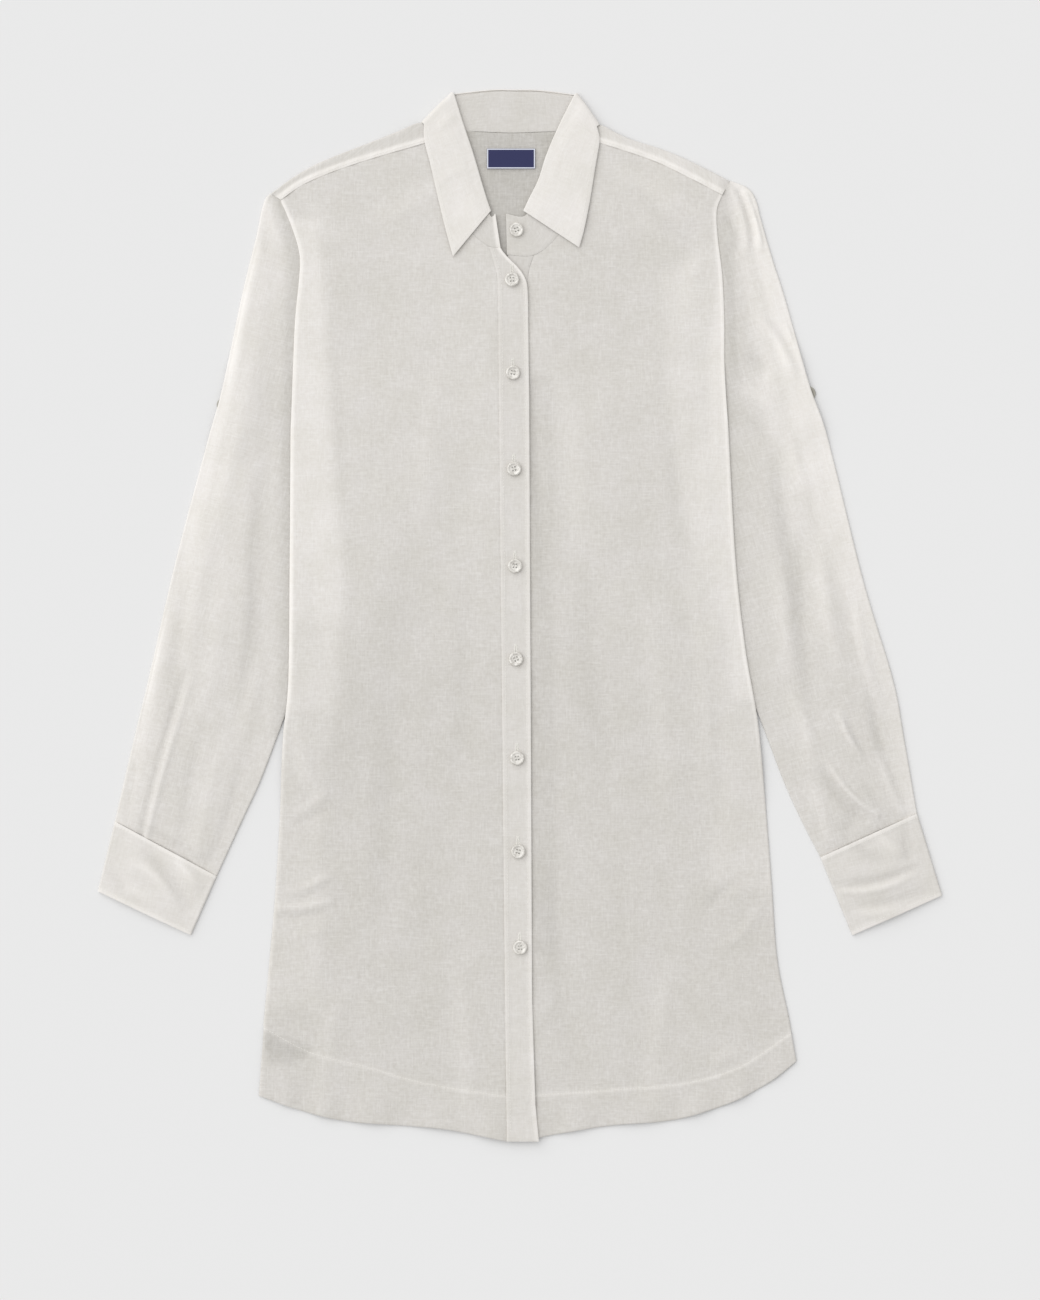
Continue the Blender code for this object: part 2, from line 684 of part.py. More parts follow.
def width_at(y, table):
    """Width of a strip at a height, between the rows of its table."""
    for (upper, wide), (lower, narrow) in zip(table, table[1:]):
        if y >= lower:
            return wide + (narrow - wide) * min(max((upper - y) / (upper - lower), 0.0), 1.0)
    return table[-1][1]


def placket_level(x, y):
    """Underside of the placket, over the button stand and both hem bands."""
    return front_level(x, y) + PLACKET_RISE + 2 * HEM_EXTRA * ease((HEM_LIFT_Y - y) / HEM_LIFT_RAMP)


def make_placket(seam, linen):
    """The doubled strip with the buttonholes, from the right front's edge across the centre."""
    grid = []
    for index, point in enumerate(seam):
        near = point + Vector((SEAM_GAP, 0))
        slant = PLACKET_TOP_SLANT if index == 0 else 0.0
        far = point + Vector((width_at(point.y, PLACKET_WIDTH), -slant))
        grid.append([near.lerp(far, share) for share in divided(PLACKET_CELLS)])
    over, under = raised(grid, placket_level, BAND)
    cloth("placket", over, under, linen)


def make_under_placket(seam, linen):
    """The strip on the left front's edge that carries the buttons."""
    grid = []
    for point in seam:
        near = point - Vector((SEAM_GAP, 0))
        far = point - Vector((width_at(point.y, UNDER_PLACKET_WIDTH), 0))
        grid.append([far.lerp(near, share) for share in divided(UNDER_PLACKET_CELLS)])
    over, under = raised(grid, front_level, extra=hem_rows(len(grid), HEM_EXTRA))
    cloth("under_placket", over, under, linen)


def leaf_section(roll, edge, level, facing):
    """Middle line of the leaf at one station: the rolled lip, then the leaf.

    level is the height of the leaf's middle at a point; facing is 1 on the front, -1 at the back.
    """
    across = (edge - roll).normalized()
    width = (edge - roll).length
    turn = LAYER / 2
    start = turn + CLOTH / 2
    points = []
    for step in range(LIP_CELLS):
        angle = pi * step / LIP_CELLS
        spot = roll + across * (start - turn * sin(angle))
        points.append((spot, -facing * turn * (1 + cos(angle)), across))
    for step in range(LEAF_CELLS + 1):
        spot = roll + across * (start + (width - start) * step / LEAF_CELLS)
        points.append((spot, 0.0, across))
    return [Vector((p.x, p.y, level(p.x, p.y) + rise)) for p, rise, across in points]


def ribbon(name, middle, thickness, material):
    """A wall on both sides of a grid of middle points."""
    over = []
    under = []
    rows = len(middle)
    columns = len(middle[0])
    for j in range(rows):
        over_row = []
        under_row = []
        for i in range(columns):
            here = middle[j][i]
            down = unit(middle[min(j + 1, rows - 1)][i] - here) + unit(here - middle[max(j - 1, 0)][i])
            side = unit(middle[j][min(i + 1, columns - 1)] - here) + unit(here - middle[j][max(i - 1, 0)])
            normal = down.cross(side).normalized()
            over_row.append(here + normal * thickness / 2)
            under_row.append(here - normal * thickness / 2)
        over.append(over_row)
        under.append(under_row)
    cloth(name, over, under, material)


def unit(vector):
    """The direction of a vector, or the vector itself where it is zero."""
    return vector.normalized() if vector.length > 1e-9 else vector


def stand_height(side):
    """Height of the middle of the collar stand's front part on one side."""
    ground = right_front_level if side == "right" else front_level

    def level(x, y):
        return ground(x, y) + CLOTH / 2
    return level


def leaf_front_height(side):
    """Height of the middle of the leaf's front part: over the stand, then loose over the front."""
    ground = stand_height(side)
    roll = vectors([row[0:2] for row in (COLLAR_RIGHT if side == "right" else COLLAR_LEFT)])

    def level(x, y):
        reach = line_distance(x, y, roll)
        return ground(x, y) + LAYER + (LEAF_CLEAR + LEAF_AIR) * ease(reach / LEAF_RAMP)
    return level


def fold_between(front_points, back_points, outward):
    """Points of the half turn between a front section and a back section."""
    sections = []
    for step in range(1, FOLD_CELLS):
        angle = pi * step / FOLD_CELLS
        row = []
        for top, bottom in zip(front_points, back_points):
            radius = (top.z - bottom.z) / 2
            centre = (top + bottom) / 2
            push = outward * abs(radius) * sin(angle)
            row.append(centre + Vector((push.x, push.y, radius * cos(angle))))
        sections.append(row)
    return sections


def wrapped(right, back, left, column, inset_share):
    """Sections of a collar part all round: both fronts joined to the back by a fold.

    The part ends in the stations' tables at column; inset_share says how many half folds its
    turned sections move in from the outline.
    """
    turns = []
    for sign, front, rear, row in ((1, right[-1], back[0], COLLAR_RIGHT[-1]),
                                   (-1, left[0], back[-1], COLLAR_LEFT[0])):
        along = (Vector(row[column:column + 2]) - Vector(row[0:2])).normalized()
        outward = Vector((along.y, -along.x)) * sign
        radius = max((top.z - low.z) / 2 for top, low in zip(front, rear))
        inset = outward * (radius + CLOTH / 2) * inset_share
        for section in (front, rear):
            for point in section:
                point.x -= inset.x
                point.y -= inset.y
        turns.append(fold_between(front, rear, outward))
    return right + turns[0] + back + turns[1][::-1] + left


def make_collar_leaf(linen):
    """The falling part with two points, folded over at the roll and at both sides of the neck."""
    def stations(rows, level, facing):
        return [leaf_section(Vector(row[0:2]), Vector(row[2:4]), level, facing) for row in rows]

    right = stations(COLLAR_RIGHT, leaf_front_height("right"), 1)
    left = stations(COLLAR_LEFT, leaf_front_height("left"), 1)
    back = stations((COLLAR_RIGHT[-1], *COLLAR_BACK, COLLAR_LEFT[0]), lambda x, y: CLOTH / 2, -1)
    ribbon("collar_leaf", wrapped(right, back, left, 2, 1), CLOTH, linen)


def stand_section(roll, seam, level, drop):
    """Middle line of the stand at one station, from below the roll to the neck seam."""
    across = (seam - roll).normalized()
    start = roll + across * drop
    end = seam - across * SEAM_GAP
    spots = [start.lerp(end, share) for share in divided(STAND_CELLS)]
    return [Vector((spot.x, spot.y, level(spot.x, spot.y))) for spot in spots]


def make_collar_stand(linen):
    """The band from the neck seam up to the roll, folded at both sides of the neck."""
    steep = (COLLAR_RIGHT[0], COLLAR_RIGHT[-1], COLLAR_LEFT[0], COLLAR_LEFT[-1])

    def stations(rows, level):
        made = []
        for row in rows:
            drop = STAND_DROP_AT_TURN if row in steep else STAND_DROP
            made.append(stand_section(Vector(row[0:2]), Vector(row[4:6]), level, drop))
        return made

    def back_level(x, y):
        return bed(x, y) + CLOTH / 2

    right = stations(COLLAR_RIGHT, stand_height("right"))
    left = stations(COLLAR_LEFT, stand_height("left"))
    back = stations((COLLAR_RIGHT[-1], *COLLAR_BACK, COLLAR_LEFT[0]), back_level)
    ends = {}
    for side, (top, low) in STAND_END.items():
        ends[side] = stand_section(Vector(top), Vector(low), stand_height(side), 0.0)
    sections = [ends["right"]] + wrapped(right, back, left, 4, 2) + [ends["left"]]
    ribbon("collar_stand", sections, CLOTH, linen)


def make_button(name, spot, height, thickness, pearl):
    """A turned disc with a raised rim and a shallow dish."""
    profile = [
        (0.0, 0.0), (BUTTON_RADIUS - BUTTON_BACK_BEVEL, 0.0), (BUTTON_RADIUS, 0.5 * thickness),
        (BUTTON_RADIUS - BUTTON_EDGE, thickness), (BUTTON_RADIUS - BUTTON_RIM, thickness),
        (BUTTON_RADIUS - BUTTON_RIM - BUTTON_DISH_SLOPE, thickness - BUTTON_DISH),
        (0.0, thickness - BUTTON_DISH),
    ]
    mesh = bmesh.new()
    corners = [mesh.verts.new(place((spot[0] + x, spot[1], height + z))) for x, z in profile]
    edges = [mesh.edges.new(pair) for pair in zip(corners, corners[1:])]
    bmesh.ops.spin(mesh, geom=corners + edges, cent=place((spot[0], spot[1], height)), axis=(0, 0, 1),
                   angle=2 * pi, steps=BUTTON_SIDES, use_merge=True, use_duplicate=False)
    bmesh.ops.remove_doubles(mesh, verts=mesh.verts[:], dist=WELD * MM)
    bmesh.ops.recalc_face_normals(mesh, faces=mesh.faces[:])
    add_object(name, mesh, pearl)


def seat(spot, level, thickness):
    """Height of a button's back: over the highest cloth below it."""
    reach = (-BUTTON_RADIUS, 0.0, BUTTON_RADIUS)
    return max(level(spot[0] + dx, spot[1] + dy) for dx in reach for dy in reach) + thickness + SEAM_GAP


def make_label(blue):
    """The tape sewn to the inside of the yoke's back, below the neck seam."""
    (x0, y0), (x1, y1) = LABEL_CORNERS
    corners = [[Vector((x0, y1)), Vector((x0, y0))], [Vector((x1, y1)), Vector((x1, y0))]]
    height = max(bed(p.x, p.y) for row in corners for p in row) + CLOTH + SEAM_GAP
    over, under = raised(corners, lambda x, y: height, LABEL_THICKNESS)
    cloth("neck_label", over, under, blue)


def main():
    """Build every piece of the dress."""
    clear_scene()
    linen = finish("linen", LINEN, 0.9)
    light = finish("linen_doubled", LINEN_LIGHT, 0.9)
    pearl = finish("button_pearl", PEARL, 0.35)
    blue = finish("label_tape", LABEL_BLUE, 0.8)
    right_seam = make_front("right", right_front_level, linen)
    left_seam = make_front("left", front_level, linen)
    make_back(linen)
    make_yoke(linen)
    for side in ("right", "left"):
        make_sleeve(side, linen)
        make_cuff(side, light)
        make_button("button_tab_" + side, TAB_BUTTONS[side], 0.0, TAB_BUTTON_HEIGHT, pearl)
    make_placket(right_seam, light)
    make_under_placket(left_seam, light)
    make_collar_leaf(light)
    make_collar_stand(light)
    for index, spot in enumerate(BUTTONS):
        make_button("button_%d" % (index + 1), spot, seat(spot, placket_level, BAND), BUTTON_HEIGHT, pearl)
    height = seat(COLLAR_BUTTON, front_level, CLOTH)
    make_button("button_collar", COLLAR_BUTTON, height, BUTTON_HEIGHT, pearl)
    make_label(blue)


main()
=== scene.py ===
# %% [markdown]
# # A linen shirt dress, laid flat
# The dress lies on its back on a pale floor and is seen from straight above. It is cut from thin
# white linen: two fronts, a back, a yoke, two sleeves with cuffs, a collar on a stand, and a placket
# with pearly buttons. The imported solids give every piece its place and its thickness. This script
# lays a finer shell of cloth on the form of each solid, with its creases, seams, stitches and weave.

import json
import math

import bmesh
import bpy
import numpy
from mathutils import Matrix, Vector, noise
from mathutils.bvhtree import BVHTree

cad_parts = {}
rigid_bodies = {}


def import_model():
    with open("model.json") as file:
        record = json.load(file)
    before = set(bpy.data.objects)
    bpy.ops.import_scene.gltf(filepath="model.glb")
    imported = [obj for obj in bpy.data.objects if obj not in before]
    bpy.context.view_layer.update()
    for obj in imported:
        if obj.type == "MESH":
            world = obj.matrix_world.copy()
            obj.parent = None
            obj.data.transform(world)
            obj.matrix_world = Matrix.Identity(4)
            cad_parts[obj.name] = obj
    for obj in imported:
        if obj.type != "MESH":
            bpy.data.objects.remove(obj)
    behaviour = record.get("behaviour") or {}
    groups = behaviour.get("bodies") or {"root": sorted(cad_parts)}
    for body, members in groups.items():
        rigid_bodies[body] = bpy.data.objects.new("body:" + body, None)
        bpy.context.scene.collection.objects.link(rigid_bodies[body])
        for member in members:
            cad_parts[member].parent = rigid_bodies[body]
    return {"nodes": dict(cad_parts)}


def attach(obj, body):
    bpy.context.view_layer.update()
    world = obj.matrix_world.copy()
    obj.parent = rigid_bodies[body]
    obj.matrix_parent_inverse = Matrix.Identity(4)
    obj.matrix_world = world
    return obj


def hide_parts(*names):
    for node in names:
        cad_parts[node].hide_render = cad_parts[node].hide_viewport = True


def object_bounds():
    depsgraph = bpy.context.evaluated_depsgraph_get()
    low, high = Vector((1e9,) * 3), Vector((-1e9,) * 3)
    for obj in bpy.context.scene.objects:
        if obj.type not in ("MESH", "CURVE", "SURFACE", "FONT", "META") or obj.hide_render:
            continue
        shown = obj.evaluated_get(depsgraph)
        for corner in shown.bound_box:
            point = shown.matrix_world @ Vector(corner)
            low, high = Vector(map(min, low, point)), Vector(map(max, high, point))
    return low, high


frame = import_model()
cad_low, cad_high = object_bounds()
cad_size = [round(1000 * (high - low), 1) for low, high in zip(cad_low, cad_high)]
print("solids:", len(frame["nodes"]), "box in mm:", cad_size)

# %% [markdown]
# ## Camera
# A garment is photographed flat with a long lens high above it, so that nothing looks foreshortened.
# One pixel of the 1040 by 1300 picture shows 0.9 mm of cloth, and the lens follows from that.

# %% Camera
MM = 0.001
PIXEL = 0.9 * MM
PICTURE_SIZE = (1040, 1300)
PICTURE_CENTRE = (0.0, -0.0312)
CAMERA_HEIGHT = 4.0

camera_data = bpy.data.cameras.new("camera")
camera_data.sensor_width = 36.0
camera_data.lens = camera_data.sensor_width * CAMERA_HEIGHT / (PICTURE_SIZE[1] * PIXEL)
camera = bpy.data.objects.new("camera", camera_data)
camera.location = (*PICTURE_CENTRE, CAMERA_HEIGHT)
bpy.context.scene.collection.objects.link(camera)
bpy.context.scene.camera = camera
print("lens", round(camera_data.lens), "mm, sees", [round(side * PIXEL, 3) for side in PICTURE_SIZE], "m")

# %% [markdown]
# ## Colours and nodes
# Colour charts give sRGB hex values, but a renderer adds up light, so one function turns every colour
# to linear. A material is a tree of nodes. One helper adds a node of any kind: its settings are the
# node's own properties, and each of its sockets gets either a value or the output of another node.

# %% Colours and nodes


def linear(hex_colour):
    """An sRGB hex colour as linear red, green, blue and alpha."""
    channels = [int(hex_colour[start:start + 2], 16) / 255 for start in (1, 3, 5)]
    return tuple(c / 12.92 if c <= 0.04045 else ((c + 0.055) / 1.055) ** 2.4 for c in channels) + (1.0,)


def add_node(tree, kind, settings=None, sockets=None):
    """Add a node with its settings, and give each socket a value or link an output to it."""
    node = tree.nodes.new(kind)
    for name, value in (settings or {}).items():
        setattr(node, name, value)
    for name, value in (sockets or {}).items():
        if isinstance(value, bpy.types.NodeSocket):
            tree.links.new(value, node.inputs[name])
        else:
            node.inputs[name].default_value = value
    return node


def new_material(name, roughness):
    """A material with a Principled shader of that roughness."""
    material = bpy.data.materials.new(name)
    material.use_nodes = True
    shader = material.node_tree.nodes["Principled BSDF"]
    shader.inputs["Roughness"].default_value = roughness
    return material, material.node_tree, shader


print("the middle grey of a screen is linear", round(linear("#808080")[0], 3))

# %% [markdown]
# ## Floor and light
# The dress lies on plain pale paper. A broad sun from the upper left stands for the softbox and an
# even sky for the white studio around it: both give the same light all over the floor, as a lamp
# nearby would not. The sun is very soft, so the cloth throws only a faint shadow where it touches.

# %% Floor and light
FLOOR_SIZE = 12.0
FLOOR_DROP = 0.1 * MM
SUN_STRENGTH = 1.66
SUN_SOFTNESS = math.radians(80)
SUN_FROM = Vector((-0.66, 0.52, 0.95))
SKY_STRENGTH = 0.62

floor_material, _, floor_shader = new_material("matt_paper_floor", 1.0)
floor_shader.inputs["Base Color"].default_value = linear("#E8E8E8")
floor_shader.inputs["Specular IOR Level"].default_value = 0.0
floor_mesh = bmesh.new()
bmesh.ops.create_grid(floor_mesh, x_segments=1, y_segments=1, size=FLOOR_SIZE / 2,
                      matrix=Matrix.Translation((0, 0, -FLOOR_DROP)))
floor_data = bpy.data.meshes.new("floor")
floor_mesh.to_mesh(floor_data)
floor_mesh.free()
floor_data.materials.append(floor_material)
floor = bpy.data.objects.new("floor", floor_data)
bpy.context.scene.collection.objects.link(floor)

sun_data = bpy.data.lights.new("softbox", "SUN")
sun_data.energy = SUN_STRENGTH
sun_data.angle = SUN_SOFTNESS
sun = bpy.data.objects.new("softbox", sun_data)
sun.rotation_mode = "QUATERNION"
sun.rotation_quaternion = SUN_FROM.to_track_quat("Z", "Y")
bpy.context.scene.collection.objects.link(sun)

sky = bpy.data.worlds.new("studio")
sky.use_nodes = True
sky.node_tree.nodes["Background"].inputs["Color"].default_value = (1.0, 1.0, 1.0, 1.0)
sky.node_tree.nodes["Background"].inputs["Strength"].default_value = SKY_STRENGTH
bpy.context.scene.world = sky
bpy.context.scene.view_settings.view_transform = "Standard"
print("light: sun", SUN_STRENGTH, "sky", SKY_STRENGTH)

# %% [markdown]
# ## Linen
# Linen is woven from flax yarn that is spun unevenly: some stretches are thicker, the slubs, and they
# show as short pale or dark dashes along both directions of the weave. The yarns here are about
# 0.6 mm apart, finer than a pixel of the picture, so the yarn pattern is drawn 1.3 mm wide. Each
# direction is a noise that is stretched along the yarn. A rounder noise mottles the washed cloth, and
# a very wide one clouds it a little. The cloth is so thin that what lies under it shows through:
# where two layers lie together it looks whiter. That share is kept on every corner of the mesh in an
# attribute whose name begins with backing. The same attribute also carries painted highlights and
# painted shade, each noted where it is drawn.

# %% Linen materials
# Sizes of the patterns on the cloth, in millimetres: across a yarn and along it
YARN = (1.3, 10.0)
SLUB = (1.6, 15.0)
MOTTLE = (3.6, 3.6)
CLOUD = (34.0, 34.0)
# Only the peaks of their noise are slubs, so most of the cloth has none
SLUB_DOWN_PEAKS = (0.62, 0.8)
SLUB_OVER_PEAKS = (0.60, 0.78)
SLUB_STRENGTH = 0.55
WEAVE_BUMP = 0.10 * MM
# The sides that face down lie on the floor or on more cloth, so they have one even tone
UNDERSIDE = "#DAD6D2"
# Numbers of a colour mix's sockets: its factor, its two colours and its result
FACTOR, FIRST, SECOND, RESULT = 0, 6, 7, 2


def cloth_pattern(tree, uv, size, detail, middle):
    """A noise of this size on the cut cloth, with its middle range spread out to 0 and 1."""
    scale = (1 / (size[0] * MM), 1 / (size[1] * MM), 1.0)
    mapping = add_node(tree, "ShaderNodeMapping", None, {"Vector": uv, "Scale": scale})
    grain = add_node(tree, "ShaderNodeTexNoise", {"noise_dimensions": "2D"},
                     {"Vector": mapping.outputs[0], "Scale": 1.0, "Detail": detail, "Roughness": 0.6})
    return add_node(tree, "ShaderNodeMapRange", None,
                    {"Value": grain.outputs[0], "From Min": middle[0], "From Max": middle[1]}).outputs[0]


def make_linen(name, thin, backed, contrast):
    """Woven linen: thin is its colour over the bare floor, backed is its colour over more cloth.
    The same mix of the two also paints highlights and shade.
    """
    material, tree, shader = new_material(name, 0.92)
    uv = add_node(tree, "ShaderNodeUVMap", {"uv_map": "cut"}).outputs[0]
    warp = cloth_pattern(tree, uv, YARN, 3.0, (0.25, 0.75))
    weft = cloth_pattern(tree, uv, YARN[::-1], 3.0, (0.25, 0.75))
    slub_down = cloth_pattern(tree, uv, SLUB, 0.0, SLUB_DOWN_PEAKS)
    slub_over = cloth_pattern(tree, uv, SLUB[::-1], 0.0, SLUB_OVER_PEAKS)
    cloud = cloth_pattern(tree, uv, CLOUD, 3.0, (0.3, 0.7))
    mottle = cloth_pattern(tree, uv, MOTTLE, 2.0, (0.3, 0.7))
    yarns = add_node(tree, "ShaderNodeMath", {"operation": "ADD"}, {0: warp, 1: weft}).outputs[0]
    weave = add_node(tree, "ShaderNodeMath", {"operation": "ADD"}, {0: yarns, 1: mottle}).outputs[0]
    slubs = add_node(tree, "ShaderNodeMath", {"operation": "ADD"}, {0: slub_down, 1: slub_over}).outputs[0]
    tone = add_node(tree, "ShaderNodeMath", {"operation": "MULTIPLY_ADD"},
                    {0: slubs, 1: SLUB_STRENGTH, 2: weave}).outputs[0]

    # What shows through from above, with painted highlights and shade, and the even tone of the underside
    backing_and_painted_light = add_node(tree, "ShaderNodeAttribute", {"attribute_name": "backing_and_painted_light"}).outputs["Fac"]
    seen = add_node(tree, "ShaderNodeMix", {"data_type": "RGBA"},
                    {FACTOR: backing_and_painted_light, FIRST: linear(thin), SECOND: linear(backed)}).outputs[RESULT]
    normal = add_node(tree, "ShaderNodeNewGeometry").outputs["Normal"]
    height = add_node(tree, "ShaderNodeSeparateXYZ", None, {"Vector": normal}).outputs["Z"]
    upward = add_node(tree, "ShaderNodeMapRange", None,
                      {"Value": height, "From Min": -0.7, "From Max": -0.3}).outputs[0]
    base = add_node(tree, "ShaderNodeMix", {"data_type": "RGBA"},
                    {FACTOR: upward, FIRST: linear(UNDERSIDE), SECOND: seen}).outputs[RESULT]

    # The yarns, slubs and mottle shade the cloth, then the wide clouds
    shade = add_node(tree, "ShaderNodeMapRange", None,
                     {"Value": tone, "From Min": 0.4, "From Max": 2.8}).outputs[0]
    woven = add_node(tree, "ShaderNodeMix", {"data_type": "RGBA"},
                     {FACTOR: shade, FIRST: linear("#8E8B87"), SECOND: linear("#FFFFFF")}).outputs[RESULT]
    lit = add_node(tree, "ShaderNodeMix", {"data_type": "RGBA", "blend_type": "SOFT_LIGHT"},
                   {FACTOR: contrast, FIRST: base, SECOND: woven}).outputs[RESULT]
    clouded = add_node(tree, "ShaderNodeMix", {"data_type": "RGBA"},
                       {FACTOR: cloud, FIRST: linear("#FAFAF8"), SECOND: linear("#FFFFFF")}).outputs[RESULT]
    colour = add_node(tree, "ShaderNodeMix", {"data_type": "RGBA", "blend_type": "MULTIPLY"},
                      {FACTOR: 1.0, FIRST: lit, SECOND: clouded}).outputs[RESULT]
    tree.links.new(colour, shader.inputs["Base Color"])
    bump = add_node(tree, "ShaderNodeBump", None, {"Strength": 0.6, "Distance": WEAVE_BUMP, "Height": tone})
    tree.links.new(bump.outputs[0], shader.inputs["Normal"])
    shader.inputs["Sheen Weight"].default_value = 0.12
    shader.inputs["Sheen Roughness"].default_value = 0.5
    shader.inputs["Specular IOR Level"].default_value = 0.25
    return material


# Washed plain-weave linen, one layer: a soft warm white with visible slubs
linen = make_linen("linen_plain_weave", "#BFBCB7", "#F2EEEA", 0.32)
# The same linen doubled and pressed, as in cuffs, collar and placket: whiter and smoother
linen_doubled = make_linen("linen_doubled_pressed", "#BFBCB7", "#F2EEEA", 0.24)
print("linen nodes:", len(linen.node_tree.nodes))

# %% [markdown]
# ## Thread, buttons and label tape
# The sewing thread is polyester, a shade whiter than the linen. The buttons are cast polyester that
# imitates mother of pearl, so a warped noise bands them in grey and cream under a clear gloss. The
# label is navy woven tape with ribs across it. These patterns read Object coordinates, which are real
# metres here, because every finished piece sits at the origin.

# %% Thread, button and tape materials
# Polyester sewing thread: a shade whiter than the cloth, with a faint lustre
thread, _, thread_shader = new_material("polyester_sewing_thread", 0.6)
thread_shader.inputs["Base Color"].default_value = linear("#EBE9E3")
thread_shader.inputs["Sheen Weight"].default_value = 0.2

# Cast polyester that imitates mother of pearl: glossy, with soft bands of grey and cream
PEARL_BAND = 3.5
pearl, pearl_tree, pearl_shader = new_material("cast_polyester_pearl", 0.22)
pearl_place = add_node(pearl_tree, "ShaderNodeTexCoord").outputs["Object"]
pearl_map = add_node(pearl_tree, "ShaderNodeMapping", None,
                     {"Vector": pearl_place, "Scale": (1 / (PEARL_BAND * MM),) * 3})
pearl_noise = add_node(pearl_tree, "ShaderNodeTexNoise", None,
                       {"Vector": pearl_map.outputs[0], "Scale": 1.0, "Detail": 2.0, "Distortion": 1.4})
pearl_bands = add_node(pearl_tree, "ShaderNodeMapRange", None,
                       {"Value": pearl_noise.outputs[0], "From Min": 0.35, "From Max": 0.65})
pearl_colour = add_node(pearl_tree, "ShaderNodeMix", {"data_type": "RGBA"}, {
    FACTOR: pearl_bands.outputs[0], FIRST: linear("#C9C5BE"), SECOND: linear("#EFECE6")})
pearl_tree.links.new(pearl_colour.outputs[RESULT], pearl_shader.inputs["Base Color"])
pearl_shader.inputs["Coat Weight"].default_value = 0.4
pearl_shader.inputs["Coat Roughness"].default_value = 0.1

# The same polyester on the sleeve tabs, drawn greyer with painted shade, as they lie under the sleeve's edge
pearl_painted_shade, _, painted_shade_shader = new_material("cast_polyester_painted_shade", 0.35)
painted_shade_shader.inputs["Base Color"].default_value = linear("#A5A298")

# Woven polyester label tape: navy, with fine ribs across it. A wave of scale 0.314 repeats every unit
RIB = 0.9
tape, tape_tree, tape_shader = new_material("woven_label_tape", 0.7)
tape_place = add_node(tape_tree, "ShaderNodeTexCoord").outputs["Object"]
tape_ribs = add_node(tape_tree, "ShaderNodeTexWave", {"bands_direction": "Y"},
                     {"Vector": tape_place, "Scale": 0.314 / (RIB * MM)}).outputs["Fac"]
tape_colour = add_node(tape_tree, "ShaderNodeMix", {"data_type": "RGBA"},
                       {FACTOR: tape_ribs, FIRST: linear("#1D2048"), SECOND: linear("#2A2E60")})
tape_tree.links.new(tape_colour.outputs[RESULT], tape_shader.inputs["Base Color"])
tape_bump = add_node(tape_tree, "ShaderNodeBump", None,
                     {"Strength": 0.5, "Distance": 0.1 * MM, "Height": tape_ribs})
tape_tree.links.new(tape_bump.outputs[0], tape_shader.inputs["Normal"])

# Its woven edge, in pale yarn
tape_border, _, border_shader = new_material("woven_label_border", 0.75)
border_shader.inputs["Base Color"].default_value = linear("#DDE0EC")
print("materials:", sorted(material.name for material in bpy.data.materials))

# %% [markdown]
# ## The cut lines
# A dressmaker's pattern is a set of curves: armhole, side, hem, neck. They are the same lines that the
# solids are built from, in millimetres, with the neck towards +Y and the wearer's right half at
# negative X. Each curve passes softly through a few points.

# %% Cut lines
# Moves the pattern so that the middle of the garment's outline is the origin
SHIFT = numpy.array((1.4, -0.175))
SIDES = ("right", "left")
ARMHOLE = {
    "right": [(-224.6, 380.2), (-216.5, 372.2), (-205.7, 347), (-199.5, 324), (-200, 302), (-203.5, 266),
              (-205.5, 221), (-207.5, 167)],
    "left": [(186.8, 391.1), (180.5, 378.4), (175.3, 363), (176.5, 338), (180.3, 306), (182.2, 266),
             (182.5, 221), (185.8, 167)],
}
SIDE = {
    "right": [(-207.5, 167), (-208.3, 50), (-209.5, -58), (-214.5, -112), (-217.3, -184), (-221.8, -256),
              (-228.2, -328), (-234.5, -395), (-236.2, -432)],
    "left": [(185.8, 167), (192.2, 50), (201.2, -31), (212, -94), (218.2, -157), (224.6, -238),
             (230, -310), (240.8, -364), (247, -401)],
}
SLEEVE_OUTER = {
    "right": [(-226.6, 379.6), (-230.8, 374.5), (-234, 364), (-238.2, 343), (-244.4, 318), (-252.5, 284),
              (-269.6, 203), (-282.2, 158), (-311, 50), (-335, -54), (-349, -112), (-365.9, -185)],
    "left": [(188.3, 391), (203.5, 384.6), (210.8, 374), (215.6, 356), (226, 320), (237.5, 284),
             (259, 207.5), (276, 158), (307.4, 32), (334.4, -58), (344.5, -112), (355.9, -177.8)],
}
SLEEVE_INNER = {
    "right": [(-120, 152), (-154, 63), (-181, -9), (-214.7, -96), (-234.5, -148), (-251, -184),
              (-274.1, -234.5)],
    "left": [(111, 152), (147, 68), (183, -18), (214.7, -94), (235.3, -148), (251.6, -184), (268.7, -217.3)],
}
CUFF_END = {
    "right": ((-381.2, -248), (-297.4, -287.6)),
    "left": ((378.4, -251.6), (297.4, -287.6)),
}
YOKE_SEAM = {
    "right": [(-216.5, 373.9), (-193, 389.2), (-149, 406.4), (-78.8, 427.1)],
    "left": [(180.5, 378.4), (149, 394.7), (116.5, 409.9), (67, 426.2)],
}
SHOULDER = {
    "right": [(-224.6, 380.2), (-203, 395.6), (-177.8, 409.1), (-127.4, 429), (-106.2, 437.6), (-93.5, 443),
              (-83, 442.6)],
    "left": [(186.8, 391.1), (149, 409.9), (124.7, 419.9), (99.5, 427.9), (84.6, 434.4), (74.5, 440),
             (66.5, 442)],
}
HEM = {
    "right": [(-236.2, -432), (-199, -445), (-159, -454.5), (-109, -458.6), (-73, -461.5), (-42, -467),
              (-13.1, -472.9)],
    "left": [(247, -401), (225.5, -418), (197, -434), (170, -444.5), (134, -454), (80, -458.6), (35, -465.8),
             (11.2, -470.2)],
}
HEM_STITCH = {
    "right": [(-231.8, -371), (-190, -393), (-138, -406.4), (-86, -421), (-13.6, -432.4)],
    "left": [(242.5, -376), (195.8, -406.4), (147, -420.8), (88, -426.2), (9.7, -431.6)],
}
CENTRE_SEAM = {
    "right": [(-29.6, 332), (-24.8, 317.2), (-22.1, 306.4), (-21.2, 297.4), (-20.9, 270), (-20.2, 194),
              (-17.5, -76), (-14.8, -346), (-13.1, -472.9)],
    "left": [(10.7, 324), (5.3, 297), (3.7, 194), (4.9, -76), (6.3, -346), (11.2, -470.2)],
}
